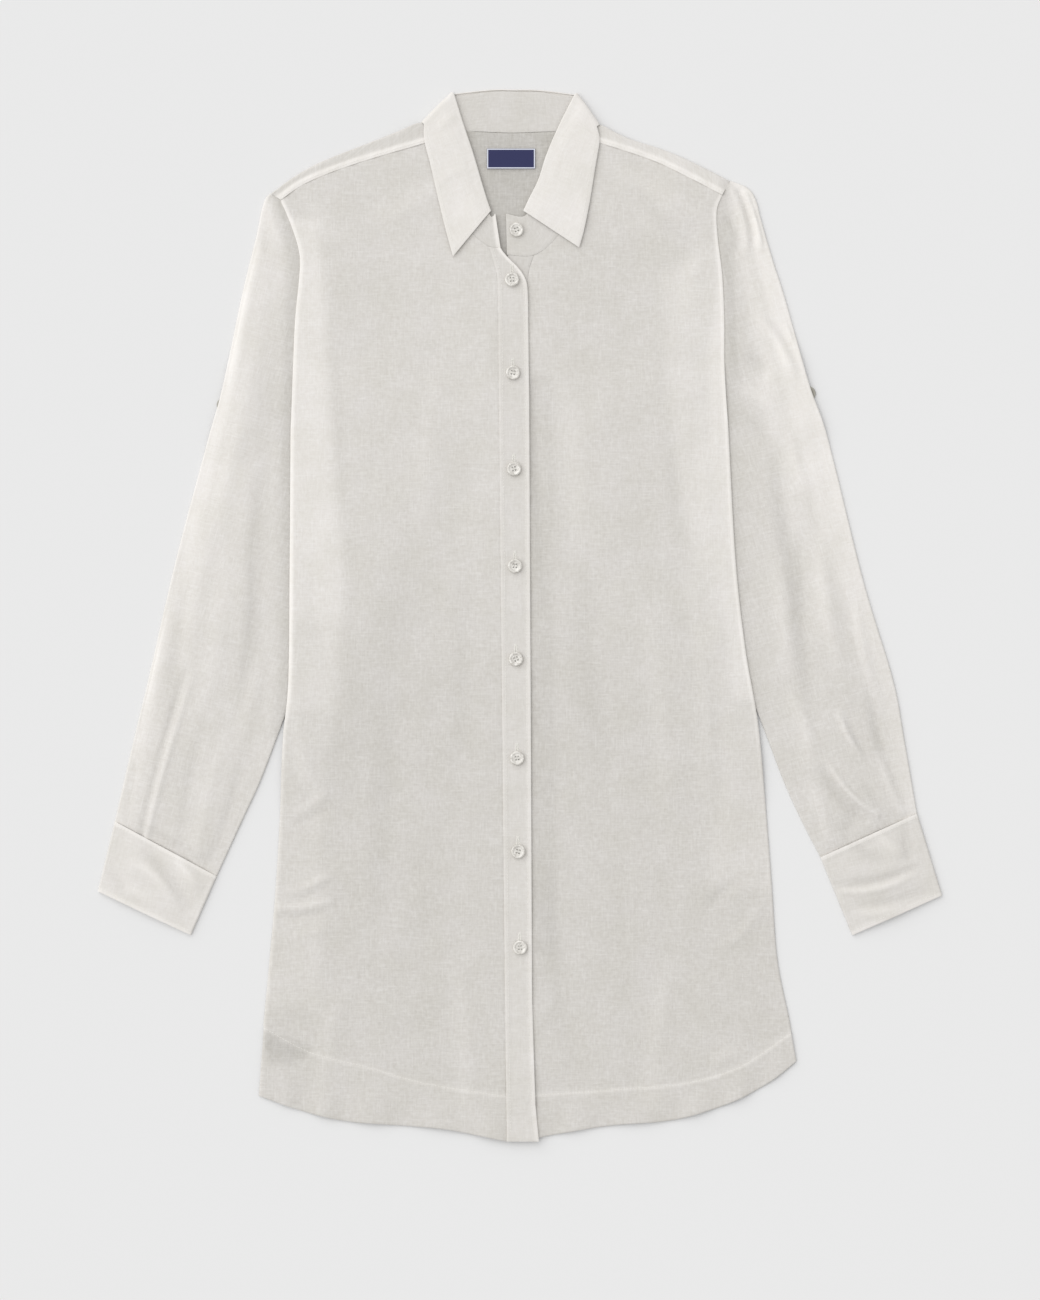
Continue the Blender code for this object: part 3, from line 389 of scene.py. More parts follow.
# Widths of the centre strips: y, width
PLACKET_WIDTH = [(332.0, 10.6), (326.0, 11.8), (322.9, 13.2), (318.0, 16.4), (313.4, 20.0), (308.0, 22.8),
                 (303.8, 24.5), (297.4, 26.2), (285.0, 26.8), (194.0, 27.0), (-76.0, 25.7),
                 (-346.0, 24.3), (-440.0, 26.0), (-473.0, 28.7)]
UNDER_PLACKET_WIDTH = [(324.0, 23.0), (297.0, 17.5), (194.0, 17.0), (-473.0, 19.0)]
# Collar stations round the neck: roll x, roll y, leaf edge x, leaf edge y, neck seam x, neck seam y
COLLAR_RIGHT = [
    (-27.4, 364.1, -61.6, 322.7, -29.6, 332.0),
    (-31.1, 374.9, -67.8, 345.2, -43.5, 343.0),
    (-36.5, 392.9, -74.8, 373.9, -59.0, 366.8),
    (-42.8, 414.4, -81.8, 404.6, -69.8, 391.5),
    (-51.8, 441.4, -87.5, 427.5, -76.8, 417.0),
    (-63.2, 471.8, -90.2, 443.8, -81.5, 438.8),
]
COLLAR_BACK = [
    (-28.4, 473.2, -39.1, 431.2, -35.6, 435.2),
    (-5.9, 473.4, -7.7, 430.6, -7.7, 434.2),
    (17.6, 472.8, 25.7, 431.2, 21.2, 435.2),
]
COLLAR_LEFT = [
    (50.6, 470.8, 70.6, 441.6, 65.2, 437.9),
    (33.8, 441.4, 70.0, 426.6, 63.4, 416.0),
    (22.1, 414.4, 66.2, 402.8, 57.0, 390.5),
    (14.8, 391.9, 61.6, 373.9, 47.2, 366.8),
    (5.9, 373.9, 56.2, 346.9, 30.0, 338.5),
    (1.4, 364.1, 51.8, 330.8, 10.7, 324.0),
]
STAND_END = {"right": (-23.6, 361.4, -18.9, 330.6), "left": (-14.0, 361.4, -13.1, 324.2)}
BUTTONS = [(-8.6, 301.9), (-7.7, 218.2), (-6.8, 131.8), (-5.9, 44.6), (-5.0, -39.1), (-4.0, -128.2),
           (-3.1, -212.0), (-1.4, -298.4)]
# Where a front's grid turns from its shoulder part to its lower part, and where the yoke's back ends
CHEST_Y = 284.0
BACK_SEAM_Y = 318.0
# The part of a front's width that ends at the shoulder seam, the rest ends at the neck
NECK_SHARE = 0.66
print("the hem is", round(HEM["left"][0][0] - HEM["right"][0][0]), "mm wide")

# %% [markdown]
# ## Curves and patches
# A cutter joins a few marks with a soft curve. A panel between four such edges is filled with a Coons
# patch, the simplest surface whose border is exactly those edges. A panel has up to 31,000 points, so
# everything is worked out on whole arrays. Soft steps and ramps of distance blend one form into another.

# %% Curves and patches
CURVE_STEPS = 16
SOFT_HOLD = 0.3


def even(cells):
    """Even shares from 0 to 1."""
    return numpy.linspace(0.0, 1.0, cells + 1)


def lengths_along(points, axis=0):
    """The length so far at each point, along this axis of an array of points."""
    steps = numpy.diff(points, axis=axis, prepend=points.take([0], axis))
    return numpy.cumsum(numpy.linalg.norm(steps, axis=-1), axis=axis)


def spread(line, shares):
    """Points at the given shares of a line's length."""
    line = numpy.asarray(line, float)
    lengths = lengths_along(line)
    targets = numpy.asarray(shares) * lengths[-1]
    return numpy.stack([numpy.interp(targets, lengths, column) for column in line.T], axis=1)


def soft_curve(points, shares):
    """Points at the given shares of a soft curve through the given ones, of any number of columns."""
    points = numpy.asarray(points, float)
    knots = numpy.concatenate([[2 * points[0] - points[1]], points, [2 * points[-1] - points[-2]]])
    fine = []
    for before, start, end, after in zip(knots, knots[1:], knots[2:], knots[3:]):
        for t in numpy.arange(CURVE_STEPS) / CURVE_STEPS:
            fine.append(0.5 * (2 * start + (end - before) * t
                               + (2 * before - 5 * start + 4 * end - after) * t ** 2
                               + (3 * start - before - 3 * end + after) * t ** 3))
    fine.append(points[-1])
    return spread(fine, shares)


def coons(top, bottom, left, right, across, down):
    """Rows of points that fill four joined edges; across and down are the shares of each column and row."""
    u, v = across[None, :, None], down[:, None, None]
    sides = left[:, None] * (1 - u) + right[:, None] * u
    ends = top[None] * (1 - v) + bottom[None] * v
    corners = (top[0] * (1 - u) + top[-1] * u) * (1 - v) + (bottom[0] * (1 - u) + bottom[-1] * u) * v
    return sides + ends - corners


def line_distance(spots, line):
    """Distance of each spot from a line."""
    best = numpy.full(spots.shape[:-1], numpy.inf)
    line = numpy.asarray(line, float)
    for start, end in zip(line, line[1:]):
        along = end - start
        share = numpy.clip((spots - start) @ along / max(along @ along, 1e-9), 0, 1)
        best = numpy.minimum(best, numpy.linalg.norm(spots - start - share[..., None] * along, axis=-1))
    return best


def area_distance(spots, outline):
    """Distance of each spot from a closed outline, 0 inside it."""
    outline = numpy.asarray(list(outline) + [outline[0]], float)
    inside = numpy.zeros(spots.shape[:-1], bool)
    for start, end in zip(outline, outline[1:]):
        if start[1] != end[1]:
            crosses = (start[1] > spots[..., 1]) != (end[1] > spots[..., 1])
            meets = start[0] + (spots[..., 1] - start[1]) * (end[0] - start[0]) / (end[1] - start[1])
            inside ^= crosses & (spots[..., 0] < meets)
    return numpy.where(inside, 0.0, line_distance(spots, outline))


def ease(share):
    """A soft step from 0 to 1."""
    share = numpy.clip(share, 0.0, 1.0)
    return share * share * (3.0 - 2.0 * share)


def at_least(value, low):
    """The value where it is above the low one, and softly held just above it elsewhere."""
    return low + SOFT_HOLD * numpy.logaddexp(0.0, (value - low) / SOFT_HOLD)


def ramp(distance, clear, width):
    """1 up to a clear distance, then softly down to 0 over the width."""
    return ease(1.0 - (distance - clear) / width)


armhole_length = lengths_along(soft_curve(ARMHOLE["right"], even(60)))[-1]
print("the right armhole is", round(armhole_length), "mm long as it lies")

# %% [markdown]
# ## How the layers lie on each other
# Nothing here is stuffed: the form is a stack of layers, each lifted softly over what lies under it.
# The sleeves are tucked under the sides of the body, the collar's back is folded under the neck, and
# the fronts lap over the sleeve heads. The heights repeat the solids' rule, so every shell stays on
# its solid.

# %% Heights of the layers, in millimetres
CLOTH = 1.0
SEAM_GAP = 0.3
LAYER = CLOTH + SEAM_GAP
BAND = 1.4
HEM_EXTRA = 0.4
SLEEVE_STACK = 2 * LAYER
PLACKET_RISE = 1.7
BODY_AIR = 0.9
# How far each lift reaches: its clear distance, then the width of its soft border
TUCK_REACH = (32, 62)
COLLAR_REACH = (12, 45)
LAP_REACH = (30, 50)
OPENING_REACH = (0, 60)
# How far in from its side edges the body is fully loose, and where its hem band begins
SIDE_REACH = 60
HEM_BAND_TOP = -380
HEM_BAND_REACH = 35
# Folds in the solids: start x, start y, end x, end y, half width, height
BODY_FOLDS = [
    (-188, 330, -178, 60, 22, 0.9), (-120, 250, -138, -90, 30, 0.7), (-205, -215, -150, -262, 16, 0.9),
    (-95, -120, -120, -420, 32, 0.9), (150, 240, 172, -20, 24, 0.9), (176, -60, 205, -300, 26, 1.0),
    (70, 180, 92, -120, 30, 0.6), (60, -180, 82, -420, 34, 0.9),
]
SLEEVE_FOLDS = [
    (-250, 250, -285, 60, 20, 1.0), (-262, 20, -315, -150, 20, 1.0), (-303, -79, -338, -198, 12, 0.8),
    (232, 250, 268, 70, 20, 1.0), (262, 20, 298, -150, 20, 1.0), (276, -132, 320, -186, 12, 0.8),
]
TUCKED = {side: [SIDE[side][0]] + SLEEVE_INNER[side][:4] for side in SIDES}
COLLAR_BACK_AREA = [COLLAR_RIGHT[-1][0:2], COLLAR_LEFT[0][0:2]] + [
    row[2:4] for row in (COLLAR_LEFT[0], *reversed(COLLAR_BACK), COLLAR_RIGHT[-1])]


def bed(spots):
    """Height of what lies on the floor under the back."""
    tuck = numpy.maximum(*[ramp(area_distance(spots, TUCKED[side]), *TUCK_REACH) for side in SIDES])
    collar = ramp(area_distance(spots, COLLAR_BACK_AREA), *COLLAR_REACH)
    return numpy.maximum(SLEEVE_STACK * tuck, LAYER * collar)


def fold_height(spots, folds):
    """Sum of the solids' soft folds."""
    total = numpy.zeros(spots.shape[:-1])
    for *ends, half_width, height in folds:
        start, along = numpy.array(ends[:2], float), numpy.array(ends[2:], float) - ends[:2]
        share = numpy.clip((spots - start) @ along / (along @ along), 0, 1)
        distance = numpy.linalg.norm(spots - start - share[..., None] * along, axis=-1)
        swell = 0.35 + 0.65 * numpy.sin(math.pi * share)
        total += height * numpy.exp(-(distance / half_width) ** 2) * swell
    return total


def body_edge(y, side):
    """X of the body's outer edge at each height of the garment."""
    line = numpy.array(ARMHOLE[side] + SIDE[side][1:], float)
    return numpy.interp(-y, -line[:, 1], line[:, 0])


def body_inset(spots):
    """How far inside the body's outer edges each spot is."""
    x, y = spots[..., 0], spots[..., 1]
    return numpy.minimum(x - body_edge(y, "right"), body_edge(y, "left") - x)


def front_level(spots):
    """Underside of the left front and of all that is level with it."""
    lap = numpy.minimum(*[line_distance(spots, ARMHOLE[side]) for side in SIDES])
    loose = (BODY_AIR + fold_height(spots, BODY_FOLDS)) * ease(body_inset(spots) / SIDE_REACH)
    return LAYER + numpy.maximum(bed(spots), LAYER * ramp(lap, *LAP_REACH)) + loose


def right_front_level(spots):
    """Underside of the right front, which climbs onto the button stand at the centre."""
    to_opening = line_distance(spots, CENTRE_SEAM["right"])
    return front_level(spots) + PLACKET_RISE * ramp(to_opening, *OPENING_REACH)


def placket_level(spots):
    """Underside of the placket, over the button stand and both hem bands."""
    in_hem = ease((HEM_BAND_TOP - spots[..., 1]) / HEM_BAND_REACH)
    return front_level(spots) + PLACKET_RISE + 2 * HEM_EXTRA * in_hem


print("the placket lies", round(float(placket_level(numpy.array(BUTTONS[0]))), 1), "mm up at its top button")

# %% [markdown]
# ## Creases
# Linen keeps every crease that it was folded or worn into. On the real dress most are long and very
# shallow, with a few sharper ones at the elbows, at the sleeve heads and over the cuffs. They could be
# simulated, but each one is visible in a known place, so each is placed as a soft ridge or
# trough along a bowed line. A fine unevenness of the cloth is added with a smooth noise.

# %% Crease tables and their heights
# Columns: start x, start y, end x, end y, bow to the right, half width, height, share left at start and end
BODY_CREASES = [
    (-216, 196, -196, -170, 4, 7, 0.8, 0.3, 0.2), (-176, 270, -160, 20, -5, 9, -0.9, 0, 0),
    (-206, -180, -170, -155, 2, 3.6, 0.9, 0.3, 0), (-206, -190, -166, -167, 2, 3.6, -0.6, 0.2, 0),
    (-206, -248, -166, -229, 2, 3.4, 1.2, 0.4, 0), (-206, -256, -168, -239, 2, 3.4, -0.7, 0.3, 0),
    (-219, -263, -166, -255, 3, 3.4, 1.5, 0.8, 0), (-219, -271, -172, -264, 3, 3.4, -0.8, 0.6, 0),
    (-205, -289, -164, -277, 0, 4, 0.7, 0.3, 0),
    (9, 230, 23, -4, 2, 6, -1.2, 0.2, 0.1), (36, 250, 52, 20, -6, 12, 1.0, 0, 0),
    (70, 408, 152, 347, -6, 8, 1.1, 0.1, 0), (96, 400, 160, 330, 6, 6, -0.8, 0, 0.1),
    (120, 395, 172, 352, 3, 5, 0.9, 0.2, 0.3), (166, 340, 150, 250, 6, 9, 0.9, 0.2, 0),
    (137, 190, 166, 12, 8, 8, -1.0, 0, 0.1), (165, 180, 181, 10, 4, 9, 1.1, 0.2, 0.2),
    (170, -30, 172, -235, -6, 8, -1.0, 0.1, 0), (196, -240, 165, -266, 3, 5, -1.0, 0.3, 0),
    (214, -262, 176, -300, -5, 5, 0.9, 0.5, 0), (-70, 240, -84, 40, 8, 11, 0.7, 0, 0),
    (-52, 90, -60, -190, -5, 10, -0.7, 0, 0), (60, 60, 84, -170, 9, 12, -0.9, 0, 0),
    (110, 20, 128, -210, -8, 10, 0.9, 0, 0), (-110, -60, -122, -300, 7, 12, -0.9, 0, 0),
    (30, -200, 44, -400, 5, 10, -0.8, 0, 0.3), (140, -300, 120, -440, 6, 9, 1.0, 0, 0.6),
    (-60, -300, -48, -455, -4, 9, 0.9, 0, 0.7), (-160, -330, -176, -440, 5, 9, 1.0, 0, 0.6),
    (-226, -388, -190, -392, 2, 5, -1.0, 0.6, 0), (200, -392, 170, -405, 2, 6, 0.9, 0.4, 0),
    (-60, 400, -150, 350, -8, 10, 0.8, 0.2, 0), (-190, 376, -150, 330, 5, 7, 0.8, 0.3, 0),
    (-200, -100, -172, -180, 6, 7, 0.8, 0.2, 0), (-190, 60, -176, -60, 4, 8, -0.7, 0, 0),
]
SLEEVE_CREASES = [
    (-236, 330, -262, 190, 3, 6, 1.2, 0.2, 0.1), (-222, 300, -236, 150, -4, 7, -1.1, 0.1, 0),
    (-299, -40, -341.8, -197, 2, 3.4, -1.5, 0.0, 1.0), (-293, -46, -337.0, -198, 2, 3.0, 1.4, 0.0, 1.0),
    (-300, 70, -313, -100, 3, 8, -1.5, 0.1, 0.3), (-322, 30, -332, -90, 3, 7, 1.1, 0.1, 0.2),
    (-336, -193, -284, -221, 0, 4, -1.0, 0.7, 0.6), (-278, 90, -300, -50, 3, 9, 1.2, 0.1, 0.4),
    (-240.8, 70, -255.6, -90, -8, 7, -1.8, 0, 0.1), (-265, 60, -295, -150, -3, 10, 0.9, 0, 0.1),
    (-302, 40, -345, -150, 4, 7, 0.9, 0.2, 0.2), (-236, -30, -258, -130, -3, 6, 0.7, 0, 0),
    (-276, -70, -306, -205, 4, 6, -0.9, 0.1, 0.6), (-262, -100, -292, -215, 4, 6, 0.8, 0, 0.7),
    (-252, -130, -280, -222, -3, 5, -1.0, 0, 0.6), (-342, -120, -356, -188, 2, 4, -1.1, 0, 0.6),
    (-248, 180, -272, 60, 5, 8, 1.1, 0, 0), (-230, 140, -238, 20, 3, 7, -1.2, 0, 0),
    (-226, 366, -212, 330, 3, 4, 1.0, 0.5, 0), (-234, 362, -226, 318, 2, 4, -0.9, 0.4, 0),
    (185, 358, 193, 326, -2, 3.2, -2.4, 0.9, 0), (189, 384, 203, 322, -4, 2.6, 2.2, 0.9, 0),
    (195, 381, 209, 330, -3, 2.4, -2.0, 0.8, 0), (201, 380, 216, 326, -3, 2.4, 2.0, 0.9, 0),
    (207, 372, 221, 322, -3, 2.4, -1.4, 0.6, 0), (186, 330, 196, 200, 4, 6, -2.2, 0.5, 0.2),
    (211, 270, 247, 211, -4, 4.5, 2.1, 0.1, 0.1), (222, 268, 252, 214, -4, 4, -1.5, 0.1, 0.1),
    (232.7, 264, 261.5, 215.6, -4, 4, 1.8, 0.1, 0.2), (201, 236, 222, 214, -3, 7, -2.1, 0.1, 0),
    (194, 206, 228, 182, -4, 6, 1.9, 0.3, 0), (192, 180, 226, 150, -5, 6, -1.2, 0.3, 0),
    (228, 160, 252, 10, 4, 8, -2.2, 0.1, 0.2), (250.7, 80, 263, -96, 5, 8, -2.2, 0, 0.1),
    (240, 170, 262, 100, 3, 6, 1.5, 0, 0), (270, 80, 290, -60, 6, 8, 2.1, 0, 0.1),
    (232, 60, 244, -60, 3, 8, 1.5, 0, 0), (285, -88, 308, -129, 2, 2.8, 2.4, 0.3, 0.1),
    (292, -90, 314, -132, 2, 4, -1.2, 0.2, 0), (275.3, -131, 320, -179, 5, 2.6, 3.0, 0.1, 0.5),
    (270, -134, 308, -184, 5, 5, -2.4, 0, 0.4), (300, -176, 290, -200, 0, 8, -1.5, 0.4, 0.5),
    (300, 20, 326, -90, 5, 5, 1.5, 0, 0), (312, -60, 334, -150, 3, 5, -1.5, 0, 0.2),
    (243, -70, 262, -140, -4, 6, 1.6, 0.1, 0), (258, -150, 276, -200, -3, 5, 1.2, 0, 0.5),
    (322, -120, 342, -176, 2, 4, 1.5, 0, 0.7), (308, -150, 332, -180, 2, 4, -1.2, 0, 0.6),
]
CUFF_CREASES = [
    (-337, -214, -300, -262, -2.5, 4.6, -2.6, 0.2, 0.6), (-322, -213, -292, -244, -3, 5, 1.6, 0.3, 0.2),
    (-347, -223, -314, -252, -3, 5, 2.4, 0.3, 0.3), (-372, -224, -342, -262, 3, 5, -1.0, 0, 0.2),
    (-306, -222, -284, -246, 2, 5, 1.4, 0.3, 0), (-358, -246, -326, -262, -2, 5, 1.5, 0, 0.3),
    (284, -241.7, 356, -226, 5, 4, -2.7, 0.4, 0.2), (286, -248, 352, -233, 5, 4, 2.2, 0.4, 0.2),
    (296, -262, 366, -246, 4, 5, -1.5, 0.2, 0.2), (322, -196, 346, -216, 3, 5, 1.8, 0.4, 0),
    (300, -206, 330, -226, 2, 5, -1.4, 0.3, 0), (304, -268, 344, -262, 2, 5, 1.5, 0.3, 0.2),
    (346, -190, 352, -222, 2, 5, -1.4, 0.3, 0),
]


def crease_height(spots, table):
    """Sum of the ridges and troughs at each spot."""
    total = numpy.zeros(spots.shape[:-1])
    for *ends, bow, half_width, height, at_start, at_end in table:
        start, end = numpy.array(ends[:2], float), numpy.array(ends[2:], float)
        along = end - start
        length = numpy.linalg.norm(along)
        right = numpy.array((along[1], -along[0])) / length
        share = numpy.clip((spots - start) @ along / length ** 2, 0, 1)
        middle = start + share[..., None] * along + (4 * bow * share * (1 - share))[..., None] * right
        distance = numpy.linalg.norm(spots - middle, axis=-1)
        swell = numpy.sin(math.pi * share)
        kept = swell + (1 - swell) * (at_start * (1 - share) + at_end * share)
        total += height * kept * numpy.exp(-(distance / half_width) ** 2)
    return total


RUMPLE = ((30.0, 0.5), (11.0, 0.16))
RUMPLE_STEP = 7.3
# Each piece takes the noise at a place of its own, so that no two pieces are rumpled alike
RUMPLE_SEEDS = {
    "front_right": 1.7, "front_left": 5.1, "yoke": 9.1, "sleeve_right": 3.3, "sleeve_left": 8.8,
    "cuff": 6.6, "leaf": 2.2, "placket": 4.4,
}
# How much whiter a millimetre of ridge looks, and darker a millimetre of trough: worn creases are
# paler, and the rest is painted highlight on the ridges and painted shade in the troughs
CREASE_WEAR_AND_PAINTED_LIGHT = 0.08


def rumple(spots, piece):
    """The fine unevenness of washed linen: smooth noises, each with its wavelength and height."""
    seed = RUMPLE_SEEDS[piece]
    flat = spots.reshape(-1, 2)
    total = numpy.zeros(len(flat))
    for index, (wave, height) in enumerate(RUMPLE):
        place = [Vector((x / wave, y / wave, seed + RUMPLE_STEP * index)) for x, y in flat]
        total += height * numpy.array([noise.noise(spot) for spot in place])
    return total.reshape(spots.shape[:-1])


print("creases:", len(BODY_CREASES), "body,", len(SLEEVE_CREASES), "sleeves,", len(CUFF_CREASES), "cuffs")

# %% [markdown]
# ## A shell of cloth
# Each panel starts as a flat grid, like the woven cloth itself. Its corners move to their places on
# the garment, and a UV map named cut keeps where they were in the cut cloth, in metres, so that the
# weave follows the grain in a sleeve that lies slanted. Solidify gives it the thickness of the cloth
# and a small bevel rounds the cut edges. Its area is printed beside the size it was cut to.

# %% The shell helper
SHELL = 0.8
EDGE_ROUND = 0.12


def world(points):
    """World positions in metres of points in the garment's millimetres."""
    moved = numpy.array(points, float)
    moved[..., :2] += SHIFT
    return moved * MM


def finished(name, mesh, materials):
    """The object of a finished mesh, which rides on the dress."""
    data = bpy.data.meshes.new(name)
    for material in materials:
        data.materials.append(material)
    mesh.to_mesh(data)
    mesh.free()
    data.polygons.foreach_set("use_smooth", [True] * len(data.polygons))
    piece = bpy.data.objects.new(name, data)
    bpy.context.scene.collection.objects.link(piece)
    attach(piece, "root")
    return piece


def shell(name, points, cut, backing_and_painted_light, material, node, flat,
          thickness=SHELL, dropped=None):
    """A thin wall of cloth on a grid of points: rows by columns by x, y, z in millimetres."""
    rows, columns = points.shape[:2]
    placed = world(points)
    mesh = bmesh.new()
    cut_map = mesh.loops.layers.uv.new("cut")
    backing_and_light_layer = mesh.verts.layers.float.new("backing_and_painted_light")
    bmesh.ops.create_grid(mesh, x_segments=columns - 1, y_segments=rows - 1, size=0.5)
    spots = {}
    for vert in mesh.verts:
        spot = (round((0.5 - vert.co.y) * (rows - 1)), round((vert.co.x + 0.5) * (columns - 1)))
        spots[vert] = spot
        vert.co = placed[spot]
        vert[backing_and_light_layer] = float(backing_and_painted_light[spot])
    for face in mesh.faces:
        for loop in face.loops:
            loop[cut_map].uv = cut[spots[loop.vert]] * MM
    if dropped is not None:
        gone = [face for face in mesh.faces if all(dropped[spots[vert]] for vert in face.verts)]
        bmesh.ops.delete(mesh, geom=gone, context="FACES")
    bmesh.ops.remove_doubles(mesh, verts=mesh.verts[:], dist=0.005 * MM)
    bmesh.ops.recalc_face_normals(mesh, faces=mesh.faces[:])
    highest = max(mesh.faces, key=lambda face: face.calc_center_median().z)
    if highest.normal.z < 0:
        bmesh.ops.reverse_faces(mesh, faces=mesh.faces[:])
    piece = finished(name, mesh, [material])
    wall = piece.modifiers.new("cloth thickness", "SOLIDIFY")
    wall.thickness = thickness * MM
    wall.offset = 0.0
    edge = piece.modifiers.new("cut edges", "BEVEL")
    edge.width = EDGE_ROUND * MM
    edge.segments = 2
    edge.limit_method = "ANGLE"
    edge.angle_limit = math.radians(60)
    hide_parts(node)
    area = sum(face.area for face in piece.data.polygons)
    width, length, share = flat
    declared = round(share * width * length, 4)
    print(name, rows, "x", columns, "points, area", round(area, 4), "of", declared, "m2")
    return piece


# %% [markdown]
# ## The fronts
# Each front is one panel from the shoulder to the curved hem. Its side edge is sewn to the back and
# its armhole edge to the sleeve, so both edges roll down to the layer below: the light catches the
# roll, as in the photograph. The columns of the grid are close together there. The hem is turned up
# 50 mm deep, so its band is a little thicker and whiter, and its free edge waves.

# %% Plans of the fronts
EDGE_COLUMNS = (0.0, 0.5, 1.1, 1.8, 2.7, 4.0)
PANEL_WIDTH = 205.0
PANEL_CELLS = 84
CHEST_ROWS = 60
BODY_ROWS = 270
BAND_SHARES = (0.03, 0.06, 0.12, 0.2, 0.3, 0.4, 0.5, 0.6, 0.7, 0.8, 0.88, 0.94, 0.97, 0.985, 1.0)
LINE_POINTS = 300
EDGE_ROLL = 1.1
SEWN_GAP = 0.05
EDGE_ROLL_RADIUS = 2.6
TIP_SINK = 1.3
PANEL_SHARES = numpy.concatenate([
    numpy.array(EDGE_COLUMNS) / PANEL_WIDTH,
    numpy.linspace(EDGE_COLUMNS[-1] / PANEL_WIDTH, 1.0, PANEL_CELLS)[1:]])


def neck_seam(side):
    """The neck seam on one front, from the shoulder to the end of the collar stand."""
    stations = COLLAR_RIGHT[::-1] if side == "right" else COLLAR_LEFT
    return soft_curve([row[4:6] for row in stations] + [STAND_END[side][2:]], even(LINE_POINTS))


def front_plan(side):
    """Points of a front, from the shoulder and neck down to the hem, side edge to centre seam."""
    armhole = soft_curve(ARMHOLE[side], even(LINE_POINTS))
    side_line = soft_curve(SIDE[side], even(LINE_POINTS))
    edge = numpy.concatenate([armhole[armhole[:, 1] <= CHEST_Y], side_line[1:]])
    stitch = soft_curve(HEM_STITCH[side], PANEL_SHARES)
    seam = soft_curve(CENTRE_SEAM[side], even(LINE_POINTS))
    edge = numpy.concatenate([edge[edge[:, 1] > stitch[0, 1]], stitch[:1]])
    centre = seam[(seam[:, 1] <= CHEST_Y) & (seam[:, 1] > stitch[-1, 1])]
    centre = numpy.concatenate([centre, stitch[-1:]])
    chest = spread([edge[0], centre[0]], PANEL_SHARES)
    down = even(BODY_ROWS)
    body = coons(chest, stitch, spread(edge, down), spread(centre, down), PANEL_SHARES, down)
    hem = soft_curve(HEM[side], PANEL_SHARES)
    band = [stitch * (1 - share) + hem * share for share in BAND_SHARES]
    neck = neck_seam(side)
    corner = numpy.linalg.norm(neck - CENTRE_SEAM[side][0], axis=1).argmin()
    neck = neck[:corner]
    neck = numpy.concatenate([[YOKE_SEAM[side][-1]], neck[neck[:, 1] < YOKE_SEAM[side][-1][1] - 1],
                              CENTRE_SEAM[side][:1]])
    shoulder = soft_curve(YOKE_SEAM[side], even(LINE_POINTS))
    on_shoulder = PANEL_SHARES[PANEL_SHARES <= NECK_SHARE] / NECK_SHARE
    on_neck = (PANEL_SHARES[PANEL_SHARES > NECK_SHARE] - NECK_SHARE) / (1 - NECK_SHARE)
    top = numpy.concatenate([spread(shoulder, on_shoulder), spread(neck, on_neck)]) - (0, SEWN_GAP)
    upper = armhole[(armhole[:, 1] > CHEST_Y) & (armhole[:, 1] < YOKE_SEAM[side][0][1] - 2)]
    left = spread(numpy.concatenate([top[:1], upper, chest[:1]]), even(CHEST_ROWS))
    above = seam[seam[:, 1] > CHEST_Y]
    right = spread(numpy.concatenate([top[-1:], above[1:], chest[-1:]]), even(CHEST_ROWS))
    upper_rows = coons(top, chest, left, right, PANEL_SHARES, even(CHEST_ROWS))[:-1]
    return numpy.concatenate([upper_rows, body, band])


def edge_roll(distance):
    """How far an edge sinks to the layer below it, on a quarter round."""
    reach = numpy.clip(1 - distance / EDGE_ROLL_RADIUS, 0, 1)
    return EDGE_ROLL * (1 - numpy.sqrt(1 - reach ** 2))


def meet_neck(plan, side):
    """A strip's rows moved so that its top meets the neck seam."""
    seam = neck_seam(side)
    seam = seam[numpy.abs(seam[:, 0] - CENTRE_SEAM[side][0][0]) < 30]
    order = numpy.argsort(seam[:, 0])
    target = numpy.interp(plan[0, :, 0], seam[order, 0], seam[order, 1]) - SEWN_GAP
    plan[..., 1] += (target - plan[:1, :, 1]) * ramp(plan[:1, :, 1] - plan[..., 1], 0, 8)
    return plan


def tip_sink(spots):
    """How far the shoulder tips sink, where no sleeve head lies under them."""
    sink = numpy.zeros(spots.shape[:-1])
    for side in SIDES:
        to_armhole = line_distance(spots, soft_curve(ARMHOLE[side], even(60)))
        to_tip = numpy.linalg.norm(spots - numpy.array(ARMHOLE[side][0]), axis=-1)
        sink += TIP_SINK * ramp(to_armhole, 0, 6) * ramp(to_tip, 6, 14)
    return sink


front_plans = {side: front_plan(side) for side in SIDES}
print("front plans", {side: plan.shape for side, plan in front_plans.items()})

# %% [markdown]
# ## Where more cloth lies below
# The sleeves' and side seams' cloth shows through as whiter bands along both sides. Real light would
# have to pass through several sheets for that, which renders slowly, so the bands are drawn as
# outlines on the body and kept in the same attribute as the share of layers. The lower body is drawn
# greyer with painted shade, and one greyer outline is the placket's painted shadow on the front.

# %% Where more cloth lies below
# Outlines in millimetres, each with the backing that it adds and its soft border
WHITER = [
    ([(-215, 350), (-190, 350), (-166, 60), (-167, 0), (-230, 0)], 0.08, 14),
    ([(-215, 350), (-190, 350), (-167, 60), (-169, -80), (-230, -80)], 0.08, 14),
    ([(-215, 350), (-190, 350), (-168, 60), (-176, -80), (-186, -150), (-188, -345), (-240, -345)],
     0.10, 14),
    ([(184, 320), (174, 240), (174, 140), (184, 20), (195, -70), (225, -70), (215, 320)], 0.15, 10),
    ([(180, 330), (134, 300), (140, 192), (152, 60), (166, -70), (176, -240), (226, -240)], 0.13, 16),
]
GREYER_AND_PAINTED_SHADOW = [
    ([(40, 330), (120, 330), (110, 60), (40, 60)], 0.05, 50),
    # Painted shadow of the placket's free edge, on the left front beside it
    ([(6, 210), (22, 210), (26, -300), (8, -300)], 0.10, 10),
    ([(-228, -377), (-193, -391), (-204, -399), (-224, -399)], 0.24, 8),
]
BODY_BACKING = 0.45
# Painted shade: the body is drawn greyer towards the hem
LOWER_BODY_PAINTED_SHADE = 0.13
HEM_BACKING = 0.02


